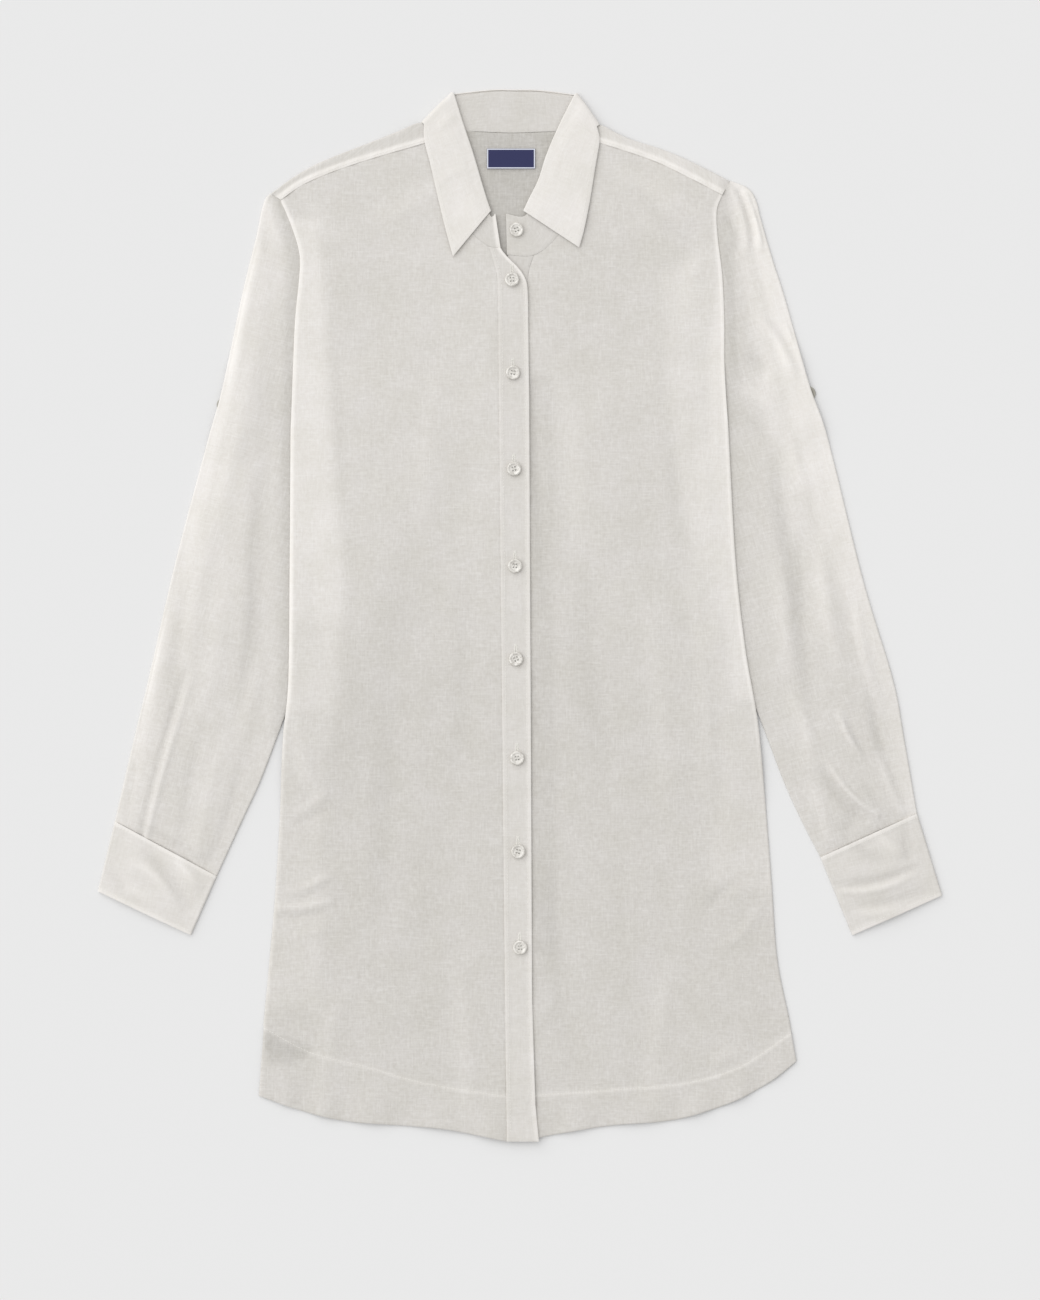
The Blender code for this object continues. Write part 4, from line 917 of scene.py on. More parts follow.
def body_backing_and_painted_shade(spots):
    """How white the body looks at each spot."""
    total = BODY_BACKING - LOWER_BODY_PAINTED_SHADE * ease((140 - spots[..., 1]) / 260)
    for table, sign in ((WHITER, 1), (GREYER_AND_PAINTED_SHADOW, -1)):
        for outline, amount, border in table:
            total += sign * amount * ramp(area_distance(spots, outline), 0, border)
    return total


print("bands:", len(WHITER), "whiter,", len(GREYER_AND_PAINTED_SHADOW), "greyer")

# %% Build the fronts
HEM_DEPTH = 50.0
EDGE_PAINTED_HIGHLIGHT = 0.45
STITCH_WHITE = 0.13
STITCH_RIDGE = 0.24
HEM_WAVE = 0.9
WAVE_LENGTH = 46.0


def build_front(side):
    """One front panel with its rolled edges, creases and hem."""
    plan = front_plans[side]
    level = right_front_level if side == "right" else front_level
    inset = numpy.abs(plan[..., 0] - body_edge(plan[..., 1], side))
    edges = ARMHOLE[side] + SIDE[side][1:]
    rolled = line_distance(plan, soft_curve(edges, even(LINE_POINTS)))
    loose = ease(inset / 10)
    height = level(plan) + CLOTH / 2 - edge_roll(rolled) * (0.4 + 0.6 * ease((180 - plan[..., 1]) / 20))
    height += crease_height(plan, BODY_CREASES) * ease(inset / 5) - tip_sink(plan)
    height += rumple(plan, "front_" + side) * loose
    in_band = numpy.zeros(len(plan))
    in_band[-len(BAND_SHARES) - 1:] = [0.0, *BAND_SHARES]
    height += (HEM_EXTRA * ease(in_band / 0.05))[:, None]
    wave = numpy.sin(plan[..., 0] * 2 * math.pi / WAVE_LENGTH + 1.3 * numpy.sin(plan[..., 0] / 31))
    height += HEM_WAVE * wave * (ease(in_band) ** 1.5)[:, None] * ease(inset / 30)
    bottom = (1 - in_band) * HEM_DEPTH
    height -= (0.5 * edge_roll(numpy.where(in_band > 0, bottom, 99)))[:, None]
    backing_and_painted_light = body_backing_and_painted_shade(plan) + (HEM_BACKING * ease(in_band / 0.03))[:, None]
    backing_and_painted_light += CREASE_WEAR_AND_PAINTED_LIGHT * crease_height(plan, BODY_CREASES) * ease(inset / 5)
    # Painted highlight: the rolled side and armhole edges are drawn whiter, less so towards the hem
    backing_and_painted_light += EDGE_PAINTED_HIGHLIGHT * ramp(rolled, 1.2, 3.2) * (0.25 + 0.75 * ease((plan[..., 1] + 160) / 120))
    to_stitch = line_distance(plan, soft_curve(HEM_STITCH[side], even(60)))
    backing_and_painted_light += STITCH_WHITE * ramp(to_stitch, 0.8, 2.2)
    height += STITCH_RIDGE * ramp(to_stitch, 0.5, 3.0)
    points = numpy.concatenate([plan, height[..., None]], axis=-1)
    return shell("front_%s_cloth" % side, points, plan, backing_and_painted_light, linen, "front_" + side,
                 flat=(0.245, 0.90, 0.76))


fronts = {side: build_front(side) for side in SIDES}

# %% [markdown]
# ## The back
# The back hardly shows: its flat face is what the dress rests on. It is a plain panel on the fronts'
# lines, with its sides a few millimetres further in, so that it doesn't show beside them.

# %% Build the back
BACK_CELLS = 72
BACK_ROWS = 130
LAP_WIDTH = 8.0
LAP_START = 0.14
BACK_INSET = 2.9


def inset_armhole(side, lap, gap):
    """The armhole line moved into the body by the lap of the sleeve head, plus a gap."""
    shares = even(LINE_POINTS)
    line = soft_curve(ARMHOLE[side], shares)
    line[:, 0] += (lap * ease(shares / LAP_START) + gap) * (1 if side == "right" else -1)
    return line


def build_back():
    """The back panel from the yoke's back seam to the hem."""
    edges = {}
    for side in SIDES:
        armhole = inset_armhole(side, LAP_WIDTH, SEAM_GAP)
        armhole = armhole[armhole[:, 1] < BACK_SEAM_Y - SEAM_GAP]
        lower = soft_curve(SIDE[side], even(LINE_POINTS))
        lap = BACK_INSET + (LAP_WIDTH + SEAM_GAP - BACK_INSET) * ease((lower[:, 1] - 120) / 47)
        lower[:, 0] += lap * (1 if side == "right" else -1)
        edges[side] = spread(numpy.concatenate([armhole, lower[1:]]), even(BACK_ROWS))
    hem = numpy.concatenate([soft_curve(HEM["right"], even(60)), soft_curve(HEM["left"], even(60))[::-1]])
    bottom = spread(hem, even(BACK_CELLS))
    top = spread([edges["right"][0], edges["left"][0]], even(BACK_CELLS))
    plan = coons(top, bottom, edges["right"], edges["left"], even(BACK_CELLS), even(BACK_ROWS))
    height = bed(plan) + CLOTH / 2
    points = numpy.concatenate([plan, height[..., None]], axis=-1)
    return shell("back_cloth", points, plan, body_backing_and_painted_shade(plan), linen, "back",
                 flat=(0.49, 0.80, 0.83))


build_back()

# %% [markdown]
# ## The yoke
# The yoke is one piece that wraps over both shoulders. Its back part shows grey in the neck, in the
# shade of the collar, and its front ends in a seam whose allowance makes a thick pale ridge. The rows
# of its grid go up the back part, round the fold over the shoulders and down the front strips, and
# the cells over the open neck are taken out again.

# %% Build the yoke
YOKE_CELLS = 44
YOKE_NECK_CELLS = 28
YOKE_BACK_ROWS = 26
YOKE_TURN = 8
YOKE_STRIP_SHARES = (0.12, 0.25, 0.38, 0.5, 0.6, 0.68, 0.76, 0.84, 0.92, 0.97, 1.0)
SEAM_RIDGE = 0.9
# The seam's stitches pucker its ridge by this much, with this run of the wave
SEAM_PUCKER = 0.3
PUCKER_RUN = 3.1
NECK_LAYER_AND_PAINTED_SHADE = 0.05
# The part of the yoke that shows in the neck is one layer over the floor and lies in the collar's
# shade, which is painted into it, so it is the greyest
NECK_OPENING = [(-52, 436), (30, 436), (4, 345), (-20, 325), (-26, 345)]
YOKE_BACKING = {"right": 0.42, "left": 0.58}
RIDGE_BACKING = 0.95


def build_yoke():
    """The yoke: back part, fold over the shoulders, front strips. The neck is left open."""
    neck = soft_curve([COLLAR_RIGHT[-1][4:6]] + [row[4:6] for row in COLLAR_BACK] + [COLLAR_LEFT[0][4:6]],
                      even(YOKE_NECK_CELLS))[1:-1]
    crest = numpy.concatenate([soft_curve(SHOULDER["right"], even(YOKE_CELLS)), neck,
                               soft_curve(SHOULDER["left"], even(YOKE_CELLS))[::-1]])
    seam = numpy.concatenate([soft_curve(YOKE_SEAM["right"], even(YOKE_CELLS)), neck,
                              soft_curve(YOKE_SEAM["left"], even(YOKE_CELLS))[::-1]])
    index = numpy.arange(len(crest))
    in_neck = (index > YOKE_CELLS) & (index < len(crest) - 1 - YOKE_CELLS)
    low = bed(crest) + CLOTH / 2
    high = front_level(crest) + CLOTH / 2 - tip_sink(crest)
    radius = (high - low) / 2
    inner = crest - numpy.stack([0 * radius, numpy.where(in_neck, SEAM_GAP, radius + CLOTH / 2)], axis=1)
    down = even(YOKE_BACK_ROWS)
    sides = {}
    for side, crest_end in (("right", inner[0]), ("left", inner[-1])):
        line = inset_armhole(side, LAP_WIDTH, SEAM_GAP)
        lower = line[(line[:, 1] > BACK_SEAM_Y) & (line[:, 1] < crest_end[1])]
        line = numpy.concatenate([[crest_end], lower, [(lower[-1, 0], BACK_SEAM_Y)]])
        sides[side] = spread(line, down)[::-1]
    across = (crest[:, 0] - crest[0, 0]) / (crest[-1, 0] - crest[0, 0])
    bottom = sides["right"][0] * (1 - across[:, None]) + sides["left"][0] * across[:, None]
    rear = coons(bottom, inner, sides["right"], sides["left"], across, down)
    rows = [numpy.concatenate([row, (bed(row) + CLOTH / 2)[:, None]], axis=1) for row in rear]
    for step in range(1, YOKE_TURN):
        angle = math.pi * step / YOKE_TURN
        rows.append(numpy.stack([inner[:, 0], inner[:, 1] + radius * math.sin(angle),
                                 low + radius * (1 - math.cos(angle))], axis=1))
    for share in (0.0, *YOKE_STRIP_SHARES):
        row = inner * (1 - share) + seam * share
        from_seam = numpy.linalg.norm(row - seam, axis=1)
        ridge = SEAM_RIDGE * ramp(from_seam, 4.0, 2.5) - edge_roll(from_seam + 0.8)
        pucker = SEAM_PUCKER * SEAM_RIDGE * numpy.sin(row[:, 0] / PUCKER_RUN) * ramp(from_seam, 2, 4)
        bumps = rumple(row, "yoke") * ease(from_seam / 4) + pucker
        level = front_level(row) + CLOTH / 2 + ridge + bumps - tip_sink(row)
        rows.append(numpy.concatenate([row, level[:, None]], axis=1))
    points = numpy.array(rows)
    cut = numpy.stack([points[..., 0], BACK_SEAM_Y + lengths_along(points)], axis=-1)
    backing_and_painted_light = numpy.where(points[..., 0] < 0, YOKE_BACKING["right"], YOKE_BACKING["left"])
    seams = [soft_curve(YOKE_SEAM[side], even(60)) for side in SIDES]
    from_seam = numpy.minimum(*[line_distance(points[..., :2], line) for line in seams])
    backing_and_painted_light += (RIDGE_BACKING - backing_and_painted_light) * ramp(from_seam, 3.4, 2.5)
    rear = body_backing_and_painted_shade(points[:YOKE_BACK_ROWS + 1, :, :2])
    seen = ramp(area_distance(points[:YOKE_BACK_ROWS + 1, :, :2], NECK_OPENING), 5, 12)
    backing_and_painted_light[:YOKE_BACK_ROWS + 1] = rear + (NECK_LAYER_AND_PAINTED_SHADE - rear) * seen
    dropped = numpy.zeros(points.shape[:2], bool)
    dropped[YOKE_BACK_ROWS:, YOKE_CELLS:len(crest) - YOKE_CELLS] = True
    return shell("yoke_cloth", points, cut, backing_and_painted_light, linen, "yoke",
                 flat=(0.42, 0.16, 0.66),
                 dropped=dropped)


yoke = build_yoke()

# %% [markdown]
# ## Sleeves and cuffs
# A sleeve is one piece closed by the underarm seam, so flat on the table it is a flattened tube with
# a fold down each side. The grid goes once round: under wall, outer fold, upper wall, inner fold. The
# weave runs along the sleeve, so the cut map is the plan turned to the sleeve's own slant.

# %% Flattened tubes
UNDER_CELLS = 14
TURN_CELLS = 7
OVER_SHARES = numpy.concatenate([(0.0, 0.004, 0.010), numpy.linspace(0.02, 0.98, 64), (0.990, 0.996, 1.0)])
SLEEVE_ROWS = 260
CUFF_ROWS = 40
SLEEVE_AIR = 1.9
CUFF_AIR = 1.3
AIR_RAMP = 30.0
LAP_SLACK = 2.4
HEAD_SHARES = (0.0, 0.05, 0.12, 0.23, 0.35, 0.48, 0.61, 0.74, 0.87, 1.0)
TAB_BUTTONS = {"right": (-268.0, 189.5), "left": (258.4, 199.8)}
TAB_BUTTON_HEIGHT = 2.0


def tube_rings(plan, base, over_height, wall):
    """Closed rings of a flattened tube: plan holds its upper wall, outer fold to inner fold."""
    radius = (wall + SEAM_GAP) / 2
    big = wall + SEAM_GAP / 2
    outward = plan[:, 0] - plan[:, 1]
    outward /= numpy.linalg.norm(outward, axis=1, keepdims=True)
    inward = plan[:, -1] - plan[:, -2]
    inward /= numpy.linalg.norm(inward, axis=1, keepdims=True)
    flat = plan.copy()
    flat[:, 0] -= outward * big
    flat[:, -1] -= inward * big
    width = numpy.linalg.norm(plan[:, -1] - plan[:, 0], axis=1)[:, None]
    reach = numpy.linalg.norm(plan - plan[:, :1], axis=2)
    for index in (1, 2, 3):
        flat[:, index] = flat[:, 0] + (plan[:, 4] - flat[:, 0]) * index / 4
        flat[:, -1 - index] = flat[:, -1] + (plan[:, -5] - flat[:, -1]) * index / 4
    picked = numpy.linspace(flat.shape[1] - 1, 0, UNDER_CELLS + 1).astype(int)
    under = flat[:, picked]
    rings = [numpy.concatenate([under, (base(under) + wall / 2)[..., None]], axis=2)]
    turns = []
    for end, direction, sign in ((flat[:, :1], outward, 1), (flat[:, -1:], inward, -1)):
        angles = sign * (numpy.pi * numpy.arange(1, TURN_CELLS) / TURN_CELLS - numpy.pi / 2)
        spots = end + direction[:, None] * (radius * numpy.cos(angles))[None, :, None]
        height = base(end) + big + radius * numpy.sin(angles)[None]
        turns.append(numpy.concatenate([spots, height[..., None]], axis=2))
    over = numpy.concatenate([flat, over_height(flat, reach, width)[..., None]], axis=2)
    rings += [turns[0], over, turns[1], rings[0][:, :1]]
    return numpy.concatenate(rings, axis=1)


def turned_cut(points, line):
    """The plan turned so that the line's direction is straight down."""
    along = numpy.array(line[-1], float) - line[len(line) // 2]
    along /= numpy.linalg.norm(along)
    across = numpy.array((-along[1], along[0]))
    return numpy.stack([points[..., :2] @ across, -points[..., :2] @ along], axis=-1)


print("a ring has", UNDER_CELLS + 2 * (TURN_CELLS - 1) + len(OVER_SHARES) + 1, "points")

# %% Build the sleeves
# A column near the middle of the upper wall, along which the way to the cuff is measured
MIDDLE_COLUMN = 32
# A sleeve is whitest along its outer fold and less so in its middle, and the white narrows towards
# the cuff. Numbers: all over, middle, outer fold, share of the width that the fold's white takes
SLEEVE_WHITE = {"right": (0.50, 0.17, 0.28, 0.06), "left": (0.41, 0.22, 0.27, 0.24)}
TUCK_SHADE = {"right": 0.28, "left": 0.12}
CUFF_SEAM_DRAW = 0.5


def sleeve_base(spots, side):
    """Height under a sleeve, over the tab button at its outer fold."""
    reach = numpy.linalg.norm(spots - numpy.array(TAB_BUTTONS[side]), axis=-1)
    return (TAB_BUTTON_HEIGHT + SEAM_GAP) * ramp(reach, 24, 36)


def build_sleeve(side):
    """One sleeve from its head under the armhole to the cuff seam."""
    outer = soft_curve(SLEEVE_OUTER[side], even(SLEEVE_ROWS))
    inner = soft_curve(SLEEVE_INNER[side], even(SLEEVE_ROWS))
    head = inset_armhole(side, LAP_WIDTH - LAP_SLACK, -SEWN_GAP)
    head = numpy.concatenate([outer[:1], head[head[:, 1] < outer[0, 1] - 4.0], inner[:1]])
    across = numpy.interp(OVER_SHARES, even(9), HEAD_SHARES)
    cuff = spread([outer[-1], inner[-1]], OVER_SHARES)
    plan = coons(spread(head, across), cuff, outer, inner, OVER_SHARES, even(SLEEVE_ROWS))
    to_cuff = lengths_along(plan[::-1, MIDDLE_COLUMN])[::-1]

    def over_height(spots, reach, width):
        """Height of the upper wall: loose cloth, creases and rumples, all less near the two folds."""
        beyond = body_edge(spots[..., 1], side) - spots[..., 0]
        beyond = beyond if side == "right" else -beyond
        near = numpy.minimum(reach, width - reach)
        loose = (SLEEVE_AIR + fold_height(spots, SLEEVE_FOLDS)) * ease((beyond - 16) / AIR_RAMP)
        creases = crease_height(spots, SLEEVE_CREASES) * ease((beyond - 2) / 8) * ease(near / 4)
        fine = rumple(spots, "sleeve_" + side) * ease(near / 10) * ease((beyond - 2) / 8)
        pulled = CUFF_SEAM_DRAW * ramp(to_cuff, 0, 5)[:, None]
        loose = loose * ease(near / AIR_RAMP) * (1 - 0.5 * ramp(to_cuff, 0, 12)[:, None])
        rise = at_least(SEAM_GAP + loose + creases + fine - pulled, 0)
        return sleeve_base(spots, side) + CLOTH * 1.5 + rise

    points = tube_rings(plan, lambda spots: sleeve_base(spots, side), over_height, CLOTH)
    fold = points[:, UNDER_CELLS + TURN_CELLS - 1:UNDER_CELLS + TURN_CELLS, :2]
    reach = numpy.linalg.norm(points[..., :2] - fold, axis=2)
    beyond = (body_edge(points[..., 1], side) - points[..., 0]) * (1 if side == "right" else -1)
    full = numpy.maximum(reach.max(axis=1, keepdims=True), 1)
    share = reach / numpy.clip(reach + numpy.maximum(beyond, 0), 1, full)
    plain, middle, outer, clear = SLEEVE_WHITE[side]
    high = ease((points[..., 1] + 100) / 280)
    backing_and_painted_light = plain + middle * high * ramp(share, 0.55, 0.3)
    backing_and_painted_light += outer * (0.8 + 0.2 * high) * ramp(share, clear * (0.2 + 0.8 * high), 0.16)
    column = numpy.arange(points.shape[1])
    upper = (column >= UNDER_CELLS) & (column < len(column) - TURN_CELLS)
    backing_and_painted_light -= TUCK_SHADE[side] * ramp(beyond, 1, 15) * (points[..., 1] > -110) * upper
    backing_and_painted_light += CREASE_WEAR_AND_PAINTED_LIGHT * crease_height(points[..., :2], SLEEVE_CREASES) * ease((beyond - 2) / 8)
    cut = turned_cut(points, SLEEVE_OUTER[side])
    return shell("sleeve_%s_cloth" % side, points, cut, backing_and_painted_light, linen, "sleeve_" + side,
                 flat=(0.36, 0.58, 0.62))


for side in SIDES:
    build_sleeve(side)

# %% [markdown]
# ## The cuffs
# A cuff is a straight band of two layers, pressed hard, so it lies flatter than the sleeve and looks
# whiter. It is the same kind of flattened tube. Its edges stand up a little, where the seam allowance
# lies inside.

# %% Build the cuffs
CUFF_EDGE_RISE = 0.4
CUFF_BACKING = {"right": 0.62, "left": 0.50}
CUFF_RIM_BACKING = 0.25


def build_cuff(side):
    """The doubled band at the wrist, with its seam and its topstitched edges standing up a little."""
    outer_start, inner_start = numpy.array(SLEEVE_OUTER[side][-1]), numpy.array(SLEEVE_INNER[side][-1])
    outer_end, inner_end = numpy.array(CUFF_END[side])
    along = (outer_end - outer_start) / numpy.linalg.norm(outer_end - outer_start)
    rows = numpy.linspace(0, 1, CUFF_ROWS + 1)
    outer = outer_start + along * SEWN_GAP + rows[:, None] * (outer_end - outer_start - along * SEWN_GAP)
    inner = inner_start + along * SEWN_GAP + rows[:, None] * (inner_end - inner_start - along * SEWN_GAP)
    plan = outer[:, None] * (1 - OVER_SHARES[None, :, None]) + inner[:, None] * OVER_SHARES[None, :, None]
    length = numpy.linalg.norm(outer_end - outer_start)
    ends = numpy.minimum(rows, 1 - rows)[:, None] * length

    def over_height(spots, reach, width):
        """Height of the upper wall, with its raised edges and its creases."""
        near = numpy.minimum(reach, width - reach)
        rise = CUFF_EDGE_RISE * ramp(ends, 3.2, 2.5) - 0.5 * edge_roll(ends + 0.8)
        loose = CUFF_AIR * ease(near / AIR_RAMP) + crease_height(spots, CUFF_CREASES) * ease(near / 4)
        fine = rumple(spots, "cuff") * ease(near / 6)
        return BAND * 1.5 + at_least(SEAM_GAP + loose + rise * ease(near / 3) + fine, 0)

    points = tube_rings(plan, lambda spots: numpy.zeros(spots.shape[:-1]), over_height, BAND)
    backing_and_painted_light = numpy.full(points.shape[:2], CUFF_BACKING[side]) + CUFF_RIM_BACKING * ramp(ends, 2.2, 2.2)
    backing_and_painted_light += CREASE_WEAR_AND_PAINTED_LIGHT * crease_height(points[..., :2], CUFF_CREASES)
    cut = turned_cut(points, SLEEVE_OUTER[side])
    return shell("cuff_%s_cloth" % side, points, cut, backing_and_painted_light, linen_doubled,
                 "cuff_" + side, flat=(0.19, 0.064, 1.0), thickness=1.2)


cuffs = {side: build_cuff(side) for side in SIDES}

# %% [markdown]
# ## The collar
# A shirt collar is two pieces: the stand, a band sewn round the neck, and the leaf, which is sewn to
# the top of the stand and falls over it along the roll line. Pressed flat on the table, both wrap
# round the neck with a fold at each side, the leaf behind the neck lying under everything else. Each
# is one grid, a row for each section round the neck.

# %% Collar sections
LEAF_TURN = 0.65
LEAF_START = 1.15
LEAF_CELLS = 24
LIP_CELLS = 8
FRONT_STATIONS = 60
BACK_STATIONS = 40
SIDE_TURN = 8
STAND_DROP = 2.3
STAND_DROP_AT_TURN = 5.0
STAND_CELLS = 12


def stand_height(spots, side):
    """Height of the stand's middle on the front."""
    return (right_front_level(spots) if side == "right" else front_level(spots)) + CLOTH / 2


def leaf_height(spots, side):
    """Height of the leaf's middle on the front: over the stand, then loose over the front."""
    rolls = [row[0:2] for row in (COLLAR_RIGHT if side == "right" else COLLAR_LEFT)]
    return stand_height(spots, side) + LAYER + 1.3 * ease(line_distance(spots, rolls) / 14)


def leaf_sections(rows, level, facing):
    """The leaf's middle at each station: the rolled lip, then the leaf out to its edge."""
    roll, edge = rows[:, 0:2], rows[:, 2:4]
    width = numpy.linalg.norm(edge - roll, axis=1)
    across = (edge - roll) / width[:, None]
    angles = numpy.pi * numpy.arange(LIP_CELLS) / LIP_CELLS
    lip = LEAF_START - LEAF_TURN * numpy.sin(angles)
    rise = numpy.concatenate([-facing * LEAF_TURN * (1 + numpy.cos(angles)), numpy.zeros(LEAF_CELLS + 1)])
    out = LEAF_START + (width[:, None] - LEAF_START) * even(LEAF_CELLS)[None]
    reach = numpy.concatenate([numpy.tile(lip, (len(rows), 1)), out], axis=1)
    spots = roll[:, None] + across[:, None] * reach[..., None]
    return numpy.concatenate([spots, (level(spots) + rise)[..., None]], axis=2)


def stand_sections(rows, level):
    """The stand's middle at each station, from below the roll to the neck seam."""
    roll, seam, drop = rows[:, 0:2], rows[:, 4:6], rows[:, 6]
    across = (seam - roll) / numpy.linalg.norm(seam - roll, axis=1)[:, None]
    start, end = roll + across * drop[:, None], seam - across * SEWN_GAP
    shares = even(STAND_CELLS)[None, :, None]
    spots = start[:, None] * (1 - shares) + end[:, None] * shares
    return numpy.concatenate([spots, level(spots)[..., None]], axis=2)


def wrapped(parts, column, inset_share, levels, sections):
    """Sections of a collar part all round: right front, turn, back, turn, left front.

    The station tables of the three parts are moved in at the turns by a share of the turn's radius.
    """
    right, back, left = [numpy.array(rows, float) for rows in parts]
    turns = []
    for sign, front, at, level in ((1, right, (-1, 0), levels[0]), (-1, left, (0, -1), levels[2])):
        station = front[at[0]]
        along = station[column:column + 2] - station[0:2]
        outward = sign * numpy.array((along[1], -along[0])) / numpy.linalg.norm(along)
        probe = station[0:2] + even(8)[:, None] * along
        radius = (level(probe) - levels[1](probe)).max() / 2
        inset = outward * (radius + CLOTH / 2) * inset_share
        for table, index in ((front, at[0]), (back, at[1])):
            for start in (0, 2, 4):
                table[index, start:start + 2] -= inset
        turns.append(outward)
    made = [sections(soft_curve(rows, even(count)), level, facing) for rows, count, level, facing in
            ((right, FRONT_STATIONS, levels[0], 1), (back, BACK_STATIONS, levels[1], -1),
             (left, FRONT_STATIONS, levels[2], 1))]

    def half_turn(front, rear, outward):
        """Sections round the fold at one side of the neck, from the front's last to the back's."""
        rows = []
        for step in range(1, SIDE_TURN):
            angle = math.pi * step / SIDE_TURN
            radius = (front[:, 2] - rear[:, 2]) / 2
            middle = (front + rear) / 2
            middle[:, :2] += outward[None] * numpy.abs(radius)[:, None] * math.sin(angle)
            middle[:, 2] += radius * math.cos(angle)
            rows.append(middle)
        return numpy.array(rows)

    first = half_turn(made[0][-1], made[1][0], turns[0])
    last = half_turn(made[2][0], made[1][-1], turns[1])[::-1]
    return numpy.concatenate([made[0], first, made[1], last, made[2]])


def strip_cut(points):
    """Cut coordinates of a strip: the length along its middle column and across each row."""
    middle = points[:, points.shape[1] // 2]
    along = lengths_along(middle)
    over = lengths_along(points, axis=1)
    return numpy.stack([numpy.broadcast_to(along[:, None], over.shape), over], axis=-1)


print("collar stations:", len(COLLAR_RIGHT), "right,", len(COLLAR_BACK), "back,", len(COLLAR_LEFT), "left")

# %% Build the leaf and the stand
LEAF_EDGE_ROLL = 0.35
LEAF_TIP_LIFT = 0.5
LEAF_BACKING = 0.80
END_WHITE = 0.5
END_RISE = 0.5
STAND_BACKING = 0.42
COLLAR_CREASES = [
    (-58, 452, -76, 436, 0, 4, 0.7, 0, 0), (-48, 402, -78, 384, 3, 4, 0.5, 0, 0.4),
    (-70, 380, -64, 345, 2, 5, 0.4, 0.2, 0.4), (44, 452, 60, 434, -2, 4, 0.5, 0, 0.2),
    (40, 404, 62, 388, 2, 5, 0.4, 0, 0.3), (52, 386, 56, 352, -2, 4, 0.5, 0.2, 0.4),
]


def build_leaf():
    """The falling part of the collar with its two points."""
    levels = (
        lambda spots: leaf_height(spots, "right"),
        lambda spots: numpy.full(spots.shape[:-1], CLOTH / 2),
        lambda spots: leaf_height(spots, "left"),
    )
    points = wrapped((COLLAR_RIGHT, [COLLAR_RIGHT[-1], *COLLAR_BACK, COLLAR_LEFT[0]], COLLAR_LEFT),
                     2, 1, levels, leaf_sections)
    rows, columns = points.shape[:2]
    to_edge = numpy.linalg.norm(points[:, -1:, :2] - points[..., :2], axis=2)
    middle = points[..., :2].mean(axis=1)
    to_end = numpy.minimum(*[numpy.linalg.norm(middle - middle[index], axis=1) for index in (0, -1)])
    front = numpy.zeros((rows, 1))
    front[:FRONT_STATIONS + 1] = 1.0
    front[-FRONT_STATIONS - 1:] = 1.0
    over = numpy.arange(columns)[None] > LIP_CELLS + 2
    points[..., 2] -= front * over * LEAF_EDGE_ROLL * ramp(to_edge, 0.0, 2.5)
    points[..., 2] += front * over * LEAF_TIP_LIFT * ramp(to_end, 0, 40)[:, None] * ramp(to_edge, 0, 30)
    relief = rumple(points[..., :2], "leaf") + crease_height(points[..., :2], COLLAR_CREASES)
    points[..., 2] += front * over * relief
    backing_and_painted_light = numpy.full(points.shape[:2], LEAF_BACKING)
    return shell("collar_leaf_cloth", points, strip_cut(points), backing_and_painted_light, linen_doubled,
                 "collar_leaf", flat=(0.42, 0.055, 0.70))


def build_stand():
    """The band between the neck seam and the roll, from one end of the opening to the other."""
    def sections(rows, level, facing):
        """The stand's sections, which are the same whichever way they face."""
        return stand_sections(rows, level)

    def with_drop(rows):
        """The stations with how far below the roll the stand starts, which is more at the turns."""
        steep = (COLLAR_RIGHT[0], COLLAR_RIGHT[-1], COLLAR_LEFT[0], COLLAR_LEFT[-1])
        return [row + (STAND_DROP_AT_TURN if row in steep else STAND_DROP,) for row in rows]

    ends = {}
    for side in SIDES:
        top, foot = STAND_END[side][:2], STAND_END[side][2:]
        ends[side] = [top + top + foot + (0.0,)]
    levels = (
        lambda spots: stand_height(spots, "right"),
        lambda spots: bed(spots) + CLOTH / 2,
        lambda spots: stand_height(spots, "left"),
    )
    points = wrapped((ends["right"] + with_drop(COLLAR_RIGHT),
                      with_drop([COLLAR_RIGHT[-1], *COLLAR_BACK, COLLAR_LEFT[0]]),
                      with_drop(COLLAR_LEFT) + ends["left"]), 4, 2, levels, sections)
    to_end = numpy.linalg.norm(points[..., :2] - points[:1, :, :2], axis=2)
    backing_and_painted_light = STAND_BACKING + END_WHITE * ramp(to_end, 1.5, 3.0)
    points[..., 2] += END_RISE * ramp(to_end, 1.5, 3.0)
    return shell("collar_stand_cloth", points, strip_cut(points), backing_and_painted_light, linen_doubled,
                 "collar_stand", flat=(0.40, 0.036, 0.85))


leaf = build_leaf()
build_stand()

# %% [markdown]
# ## The front opening
# The right front ends in the placket, a doubled strip with eight upright buttonholes. It laps over
# the button stand of the left front, a narrower strip that only shows in the neck opening. The
# placket is pressed flat but not stiff, so its edges wave a little and it dips under each button.

# %% Build the two strips
PLACKET_CREASES = [
    (-22, 262, 2, 254, 0, 4, -0.35, 0.2, 0.6), (-20, 176, 3, 182, 0, 5, 0.3, 0.2, 0.6),
    (-18, 92, 6, 86, 0, 4, -0.35, 0.2, 0.7), (-18, 4, 6, 10, 0, 5, 0.3, 0.3, 0.7),
    (-16, -84, 6, -92, 0, 4, 0.3, 0.2, 0.6), (-16, -168, 8, -160, 0, 4, -0.35, 0.2, 0.7),
    (-14, -254, 9, -262, 0, 4, 0.3, 0.2, 0.7), (-14, -372, 10, -362, 0, 4, -0.3, 0.2, 0.6),
    (-16, -424, 14, -438, 0, 3.5, 0.9, 0.3, 1.0), (-14, -446, 14, -456, 0, 4, -0.6, 0.2, 1.0),
]
PLACKET_SHARES = (0.0, 0.03, 0.07, 0.12, 0.18, 0.3, 0.45, 0.6, 0.75, 0.84, 0.89, 0.93, 0.97, 1.0)
PLACKET_ROWS = 260
PLACKET_EDGE_ROLL = 0.3
TOP_ROLL = 0.8
PLACKET_RIDGE = 0.22
PLACKET_WAVE = 0.14
